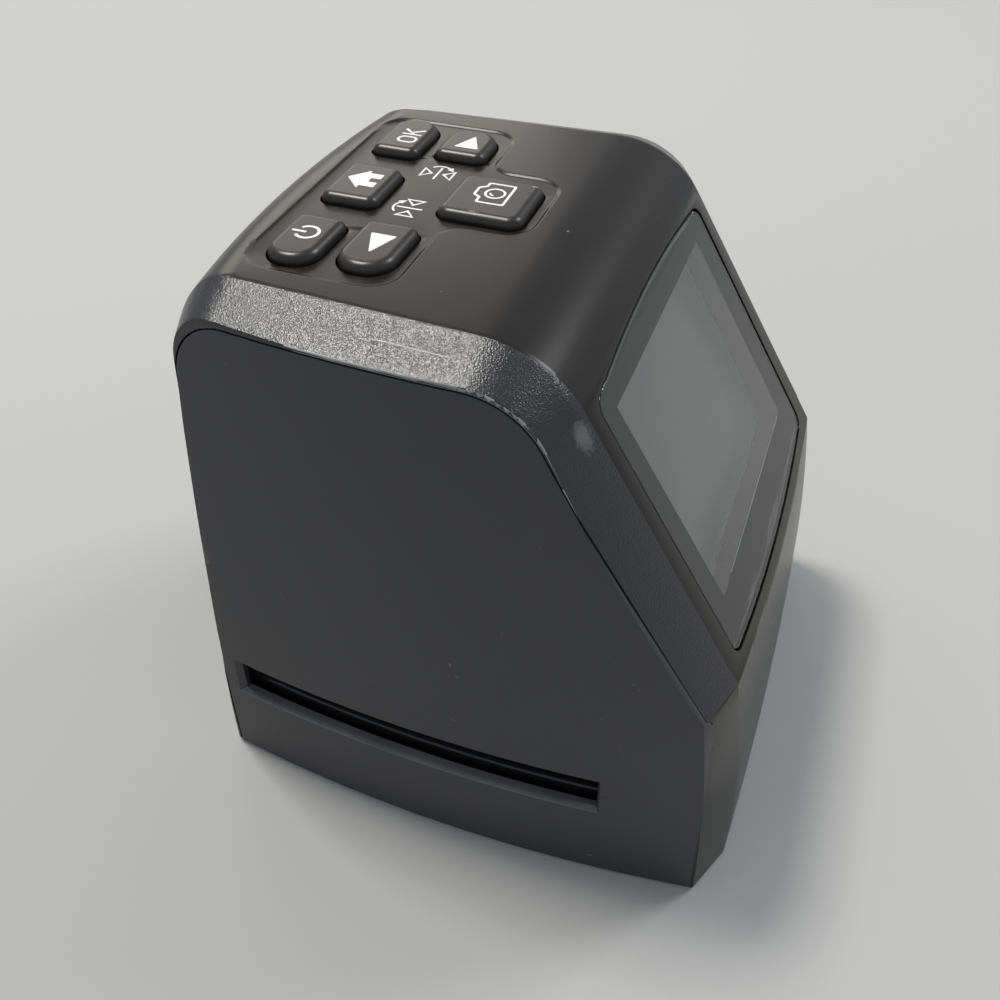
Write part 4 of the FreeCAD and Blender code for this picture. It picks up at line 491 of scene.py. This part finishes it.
# The six keys: black ABS caps with broad soft rims, on flanges under the top. White signs are
# pad-printed on them, and two more on the floor of the key recess.
KEY_COLOUR, KEY_TOP, TOP_PLAY = (0.019, 0.0170, 0.0155), 99.8, 0.005
PRINT_STAND, PRINT_DEPTH, SIGN_DEPTH = 0.02, 0.05, 0.04
KEY_SCUFFS = [
    ((7.0, 2.6, 99.6), (0.5, 0.9, 0.6), (0.25, 0.25, 0.25)),
    ((-4.0, 9.0, 99.6), (0.25, 1.3, 0.6), (0.2, 0.2, 0.2))]
key_satin = moulded_finish("key_satin", KEY_COLOUR, 0.33, FINE_CELL, 0.006 * MM, specks=(0.0012, 0.010),
                           scuffs_and_sheen=KEY_SCUFFS)
print_white = toned_finish("print_white", (0.72, 0.72, 0.71), (0.84, 0.84, 0.83), 0.45)


def arc(centre, radius, start, end, steps=24):
    """Points on an arc, angles in degrees."""
    angles = [math.radians(start + (end - start) * i / steps) for i in range(steps + 1)]
    return [(centre[0] + radius * math.cos(a), centre[1] + radius * math.sin(a)) for a in angles]


def stroke(points, width):
    """The outline of an open line of that width."""
    points = [Vector(p) for p in points]
    left, right = [], []
    for i, p in enumerate(points):
        before = (p - points[i - 1]).normalized() if i else (points[1] - p).normalized()
        after = (points[i + 1] - p).normalized() if i < len(points) - 1 else before
        across = Vector((-(before + after).y, (before + after).x)).normalized()
        reach = width / 2 / max(0.3, across.dot(Vector((-before.y, before.x))))
        left.append(tuple(p + across * reach))
        right.append(tuple(p - across * reach))
    return left + right[::-1]


def ring(centre, outer, inner):
    """A round line between two radii."""
    return [arc(centre, outer, 0, 360, 40)[:-1], arc(centre, inner, 0, 360, 40)[:-1]]


HOUSE = [(0.4, 32.2), (-2.8, 29.3), (-1.8, 29.3), (-1.8, 26.8), (-0.2, 26.8), (-0.2, 28.4), (1.1, 28.4),
         (1.1, 26.8), (2.7, 26.8), (2.7, 29.3), (3.6, 29.3)]
CAMERA_OUTER = [(-1.0, 5.2), (6.0, 5.2), (6.0, 10.0), (4.7, 10.0), (4.0, 11.1), (1.4, 11.1), (0.7, 10.0),
                (-1.0, 10.0)]
CAMERA_INNER = [(-0.58, 5.62), (5.58, 5.62), (5.58, 9.58), (4.45, 9.58), (3.75, 10.68), (1.65, 10.68),
                (0.95, 9.58), (-0.58, 9.58)]
PRINTS = {
    "key_power": [[stroke(arc((-18.3, 29.7), 1.75, 128, 412), 0.5)],
                  [stroke([(-18.3, 29.9), (-18.3, 32.2)], 0.5)]],
    "key_home": [[rounded_loop(HOUSE, 0.1)]],
    "key_ok": [[rounded_loop([(15.4, 27.3), (17.9, 27.3), (17.9, 30.8), (15.4, 30.8)], 1.2, 8),
                rounded_loop([(15.82, 27.72), (17.48, 27.72), (17.48, 30.38), (15.82, 30.38)], 0.8, 8)],
               [[(18.5, 27.3), (18.92, 27.3), (18.92, 30.8), (18.5, 30.8)]],
               [stroke([(18.85, 28.7), (20.6, 30.8)], 0.42)], [stroke([(19.4, 29.35), (20.7, 27.3)], 0.42)]],
    "key_right": [[rounded_loop([(21.5, 18.3), (16.7, 20.5), (16.7, 16.2)], 0.2)]],
    "key_left": [[rounded_loop([(-20.8, 18.6), (-15.2, 16.5), (-15.2, 20.7)], 0.2)]],
    "key_camera": [[rounded_loop(CAMERA_OUTER, 0.5), rounded_loop(CAMERA_INNER, 0.3)],
                   ring((2.6, 7.8), 1.75, 1.35), [stroke(arc((2.6, 7.8), 0.75, 90, 180, 8), 0.3)]],
}


def upright(x, y, z):
    """The place of a point measured in the frame's own directions."""
    return Vector((x, y, z)) * MM


for key, figures in PRINTS.items():
    form = merged(key)
    for vertex in form.verts:
        if vertex.co.z > (KEY_TOP - TOP_PLAY) * MM:
            vertex.co.z = (KEY_TOP - PRINT_STAND) * MM
    set_down(key.replace("key_", "cap_"), form, [key_satin], key + "_body", "key_gloss", key)
    layer(key.replace("key_", "sign_"), figures, KEY_TOP - PRINT_DEPTH, KEY_TOP, upright, print_white,
          key + "_body", "key_gloss")

flips = []
for middle, turn in (((9.3, 20.35), 0.0), ((-3.45, 19.9), 90.0)):
    spin = Matrix.Rotation(math.radians(turn), 2)
    local = [[stroke([(-2.2, 0), (2.1, 0)], 0.36)], [stroke(arc((0.5, 0), 2.1, -40, 50, 12), 0.36)],
             [[(1.25, -2.25), (1.72, -0.95), (2.6, -1.75)]]]
    for up in (1, -1):
        local.append([[(-1.9, 2.8 * up), (1.5, 2.8 * up), (-0.2, 0.75 * up)],
                      [(-1.38, 2.48 * up), (0.98, 2.48 * up), (-0.2, 1.35 * up)]])
    for figure in local:
        flips.append([[tuple(spin @ Vector(p) + Vector(middle)) for p in loop] for loop in figure])
layer("recess_signs", flips, RECESS_FLOOR - SIGN_DEPTH, RECESS_FLOOR + PRINT_STAND, upright, print_white,
      "scanner_body", "skin_plastic")


# Under the keys: a green board with six click switches, screwed to posts of the top.
# The main, sensor, rear and light boards are cut from the same green laminate.
BOARD_COLOUR, BOARD_CELL, TRACE_EDGE = (0.012, 0.10, 0.045), 1.4 * MM, (0.42, 0.46)
BOARD_LOW, BOARD_HIGH = (0.010, 0.075, 0.035), (0.018, 0.125, 0.055)
board_green, tree, shader = finish_of("board_green", BOARD_COLOUR, 0.32)
grain = add_node(tree, "ShaderNodeGroup", None, node_tree=grain_group)
grain.inputs["Cell Size"].default_value = BOARD_CELL
lines = ranged(tree, grain.outputs["Height"], 0.0, 1.0, *TRACE_EDGE)
tree.links.new(blended(tree, lines, BOARD_LOW, BOARD_HIGH), shader.inputs["Base Color"])
switch_black = moulded_finish("switch_black", (0.020, 0.020, 0.021), 0.5, 0.25 * MM, 0.01 * MM)
carried(board_green, "key_board", "main_board", "sensor_board", "rear_board", "led_board")
carried(switch_black, "key_switches")


# The film path: a black bed whose edge shows in both slots, the upper guide over it, and two leaf
# springs that stop the film carrier at each picture.
path_black = moulded_finish("path_black", (0.020, 0.020, 0.021), 0.48, FINE_CELL, 0.012 * MM)
bed_polished = moulded_finish("bed_polished", (0.024, 0.024, 0.025), 0.14, 0.3 * MM, 0.0005 * MM)
spring_bright = metal_finish("spring_bright", (0.66, 0.65, 0.63), 0.22, 0.15 * MM, 0.002 * MM)
carried(bed_polished, "film_bed")
carried(path_black, "film_guide_upper")
carried(spring_bright, "detent_springs")


# The light under the film: a white reflector box with an opal sheet over nine small light sources,
# square packages with a yellow face, in three rows of three on their board.
LED_HALF, LED_HEIGHT, LED_FOOT_Z, LED_MIDDLE_Y = 1.4, 0.8, 5.0, 6.0
LED_PITCH_X, LED_PITCH_Y = 8.0, 7.0
box_white = moulded_finish("box_white", (0.72, 0.72, 0.70), 0.55, 0.3 * MM, 0.01 * MM, speck_colour=(0.5, 0.5, 0.5))
opal_sheet = moulded_finish("opal_sheet", (0.80, 0.80, 0.78), 0.35, 0.6 * MM, 0.004 * MM,
                            speck_colour=(0.6, 0.6, 0.6), transmission_weight=0.35)
led_yellow = moulded_finish("led_yellow", (0.80, 0.66, 0.22), 0.35, 0.2 * MM, 0.004 * MM)
carried(box_white, "light_box")
carried(opal_sheet, "diffuser")
SET_INPUTS = [
    ("Spread X", NUMBER, 0.02), ("Spread Y", NUMBER, 0.02), ("Columns", "NodeSocketInt", 2),
    ("Rows", "NodeSocketInt", 2), ("Middle", VECTOR, (0, 0, 0)), ("Turn", "NodeSocketRotation", (0, 0, 0)),
    ("Material", "NodeSocketMaterial", None)]


def turned_tree(name, sides, sizes, levels, groove=None):
    """A tree that turns one solid from its levels, cuts a cross in it and sets it down in rows."""
    tree = bpy.data.node_groups.new(name, "GeometryNodeTree")
    for label, kind, value in [(size, NUMBER, first * MM) for size, first in sizes] + SET_INPUTS:
        socket = tree.interface.new_socket(label, in_out="INPUT", socket_type=kind)
        if value is not None:
            socket.default_value = value
    tree.interface.new_socket("Geometry", in_out="OUTPUT", socket_type="NodeSocketGeometry")
    given = tree.nodes.new("NodeGroupInput").outputs
    steps = len(levels) - 1
    rod = add_node(tree, "GeometryNodeMeshCylinder", {
        "Vertices": sides, "Side Segments": steps, "Radius": 1.0, "Depth": float(steps)}).outputs["Mesh"]
    place = add_node(tree, "GeometryNodeInputPosition").outputs[0]
    parts = add_node(tree, "ShaderNodeSeparateXYZ", {0: place}).outputs
    level = maths(tree, parts[2], steps / 2, "ADD")
    level = add_node(tree, "FunctionNodeFloatToInt", {0: level}).outputs[0]
    chosen = []
    for which in (0, 2):
        pick = add_node(tree, "GeometryNodeIndexSwitch", {"Index": level}, data_type="FLOAT")
        while len(pick.index_switch_items) < len(levels):
            pick.index_switch_items.new()
        for i, row in enumerate(levels):
            size = maths(tree, given[row[which]], row[which + 1], "MULTIPLY")
            tree.links.new(size, pick.inputs[i + 1])
        chosen.append(pick.outputs[0])
    x, y = [maths(tree, parts[i], chosen[0], "MULTIPLY") for i in (0, 1)]
    spot = add_node(tree, "ShaderNodeCombineXYZ", {0: x, 1: y, 2: chosen[1]}).outputs[0]
    solid = add_node(tree, "GeometryNodeSetPosition", {"Geometry": rod, "Position": spot}).outputs[0]
    if groove:
        length, width, depth, top = [given[label] for label in groove]
        for long_way in (0, 1):
            size = {0: length, 1: width} if long_way else {0: width, 1: length}
            size = add_node(tree, "ShaderNodeCombineXYZ", {**size, 2: depth}).outputs[0]
            bar = add_node(tree, "GeometryNodeMeshCube", {"Size": size}).outputs["Mesh"]
            lift = add_node(tree, "ShaderNodeCombineXYZ", {2: top}).outputs[0]
            bar = add_node(tree, "GeometryNodeTransform", {"Geometry": bar, "Translation": lift}).outputs[0]
            solid = add_node(tree, "GeometryNodeMeshBoolean", {"Mesh 1": solid, "Mesh 2": bar},
                             operation="DIFFERENCE", solver="EXACT").outputs["Mesh"]
    if sides == 4:
        solid = add_node(tree, "GeometryNodeTransform", {
            "Geometry": solid, "Rotation": (0, 0, math.pi / 4)}).outputs[0]
    rows = add_node(tree, "GeometryNodeMeshGrid", {
        "Size X": given["Spread X"], "Size Y": given["Spread Y"], "Vertices X": given["Columns"],
        "Vertices Y": given["Rows"]}).outputs["Mesh"]
    copies = add_node(tree, "GeometryNodeInstanceOnPoints", {"Points": rows, "Instance": solid}).outputs[0]
    copies = add_node(tree, "GeometryNodeTransform", {
        "Geometry": copies, "Translation": given["Middle"], "Rotation": given["Turn"]}).outputs[0]
    real = add_node(tree, "GeometryNodeRealizeInstances", {"Geometry": copies}).outputs[0]
    dressed = add_node(tree, "GeometryNodeSetMaterial", {
        "Geometry": real, "Material": given["Material"]}).outputs[0]
    tree.links.new(dressed, tree.nodes.new("NodeGroupOutput").inputs[0])
    return tree


def in_rows(name, tree, finish, slot, node, **values):
    """Runs a tree once with these sizes and keeps its result as one plain mesh."""
    piece = bpy.data.objects.new(name, bpy.data.meshes.new(name + "_start"))
    bpy.context.scene.collection.objects.link(piece)
    maker = piece.modifiers.new("in_rows", "NODES")
    maker.node_group = tree
    for item in tree.interface.items_tree:
        key = item.name.lower().replace(" ", "_")
        if item.in_out == "INPUT" and key in values:
            maker[item.identifier] = values[key]
        elif item.in_out == "INPUT" and key == "material":
            maker[item.identifier] = finish
    bpy.context.view_layer.update()
    mesh = bpy.data.meshes.new_from_object(piece.evaluated_get(bpy.context.evaluated_depsgraph_get()))
    piece.modifiers.remove(maker)
    form = bmesh.new()
    form.from_mesh(mesh)
    bpy.data.objects.remove(piece)
    bmesh.ops.recalc_face_normals(form, faces=form.faces)
    for face in form.faces:
        face.material_index = 0
    return set_down(name, form, [finish], "scanner_body", slot, node)


led_tree = turned_tree("light_sources", 4, [("Corner", 1.98), ("Height", LED_HEIGHT)], [
    ("Corner", 1.0, "Height", 0.0), ("Corner", 1.0, "Height", 0.8), ("Corner", 0.93, "Height", 1.0)])
in_rows("light_sources", led_tree, led_yellow, "led_white", "backlight_leds", corner=LED_HALF * math.sqrt(2) * MM,
        height=LED_HEIGHT * MM, spread_x=2 * LED_PITCH_X * MM, spread_y=2 * LED_PITCH_Y * MM, columns=3, rows=3,
        middle=Vector((0, LED_MIDDLE_Y, LED_FOOT_Z)) * MM)


# The optics above the film: a black tower, a holder and barrel with three glass elements, an
# infrared filter, and the sensor on its own board.
lens_glass = toned_finish("lens_glass", (0.90, 0.93, 0.95), (0.96, 0.97, 0.98), 0.01,
                          transmission_weight=1.0, ior=1.52)
filter_glass = toned_finish("filter_glass", (0.50, 0.77, 0.75), (0.60, 0.83, 0.81), 0.02,
                            transmission_weight=1.0, ior=1.52)
sensor_dark = moulded_finish("sensor_dark", (0.035, 0.030, 0.045), 0.12, 0.2 * MM, 0.001 * MM)
chip_black = moulded_finish("chip_black", (0.016, 0.016, 0.017), 0.55, 0.2 * MM, 0.01 * MM)
carried(path_black, "lens_tower", "lens_holder", "lens_barrel")
carried(lens_glass, "lens_element")
carried(filter_glass, "ir_filter")
carried(sensor_dark, "image_sensor")
carried(chip_black, "main_chips")


# The sockets in the back wall: a small power and data socket, a card slot and a round video socket,
# all on the rear board; and the flat ribbons between the boards.
socket_steel = metal_finish("socket_steel", (0.58, 0.58, 0.57), 0.30, 0.15 * MM, 0.002 * MM)
socket_black = moulded_finish("socket_black", (0.016, 0.016, 0.016), 0.42, 0.2 * MM, 0.008 * MM)
ribbon_amber = moulded_finish("ribbon_amber", (0.42, 0.16, 0.025), 0.30, 0.4 * MM, 0.002 * MM)
carried(socket_steel, "usb_socket", "card_socket")
carried(socket_black, "video_socket")
carried(ribbon_amber, "key_flex", "sensor_flex", "rear_flex")


# The base: a black plate on the corner posts, with four feet of moulded rubber pressed into its
# round seats.
FOOT_RADIUS, FOOT_HEIGHT, FOOT_X, FOOT_Y = 4.5, 1.4, 33.0, 35.0
base_satin = moulded_finish("base_satin", (0.024, 0.024, 0.025), 0.55, 0.25 * MM, 0.015 * MM)
foot_rubber = moulded_finish("foot_rubber", (0.022, 0.022, 0.022), 0.75, 0.35 * MM, 0.02 * MM)
carried(base_satin, "base_plate")
foot_tree = turned_tree("feet", 48, [("Radius", FOOT_RADIUS), ("Height", FOOT_HEIGHT)], [
    ("Radius", 0.933, "Height", 0.0), ("Radius", 0.981, "Height", 0.06), ("Radius", 1.0, "Height", 0.21),
    ("Radius", 1.0, "Height", 1.0)])
in_rows("feet", foot_tree, foot_rubber, "foot_rubber", "rubber_feet", radius=FOOT_RADIUS * MM,
        height=FOOT_HEIGHT * MM, spread_x=2 * FOOT_X * MM, spread_y=2 * FOOT_Y * MM)


# The screws: zinc-plated steel with low domed heads and a cross drive, cut into pilot holes of the
# plastic posts. One small size holds the boards, the tower and the film guide, one larger the base.
HEAD_UP, HEAD_DOWN, HEAD_BACK = 0.0, math.pi, math.pi / 2
SCREW_SETS = {  # head radius and height, shank radius and length, columns and rows apart, middle, turn, rows
    "base_screws": (2.4, 0.9, 1.2, 9.1, 56.0, 85.6, (0, -0.6, 1.9), HEAD_DOWN, 2),
    "guide_screws": (1.7, 1.1, 0.8, 20.0, 40.0, 73.9, (0, 5.35, 29.05), HEAD_UP, 2),
    "led_board_screws": (1.7, 1.1, 0.8, 3.4, 51.6, 29.0, (0, 6.0, 5.0), HEAD_UP, 2),
    "tower_screws": (1.7, 1.1, 0.8, 3.6, 48.6, 29.0, (0, 6.0, 30.85), HEAD_UP, 2),
    "sensor_screws": (1.7, 1.1, 0.8, 11.0, 21.2, 21.2, (0, 6.0, 65.2), HEAD_UP, 2),
    "key_board_screws": (1.7, 1.1, 0.8, 3.6, 59.2, 27.4, (0, 22.3, 87.0), HEAD_DOWN, 2),
    "main_board_screws": (1.7, 1.1, 0.8, 3.6, 60.8, 45.2, on_slope(0, -1.4, -9.52) / MM, SLOPE + math.pi, 2),
    "rear_board_screws": (1.7, 1.1, 0.8, 3.6, 46.0, 0.0, (0, 37.6, 50.4), HEAD_BACK, 1),
}
screw_steel = metal_finish("screw_steel", (0.50, 0.50, 0.51), 0.30, 0.12 * MM, 0.002 * MM)
screw_tree = turned_tree("screws", 32, [
    ("Head Radius", 1.7), ("Head Height", 1.1), ("Shank Radius", 0.8), ("Shank Length", 3.6), ("Drive Length", 2.2),
    ("Drive Width", 0.35), ("Drive Depth", 1.0)], [
    ("Shank Radius", 0.55, "Shank Length", -1.0), ("Shank Radius", 1.0, "Shank Length", -0.88),
    ("Shank Radius", 1.0, "Shank Length", 0.0), ("Head Radius", 1.0, "Shank Length", 0.0),
    ("Head Radius", 1.0, "Head Height", 0.55), ("Head Radius", 0.93, "Head Height", 0.85),
    ("Head Radius", 0.78, "Head Height", 1.0)], ("Drive Length", "Drive Width", "Drive Depth", "Head Height"))
for node, (head, height, shank, length, across, along, middle, turn, rows) in SCREW_SETS.items():
    in_rows(node.replace("_screws", "_fixings"), screw_tree, screw_steel, "screw_steel", node,
            head_radius=head * MM, head_height=height * MM, shank_radius=shank * MM, shank_length=length * MM,
            spread_x=across * MM, spread_y=along * MM, rows=rows, middle=Vector(middle) * MM, turn=(turn, 0, 0))
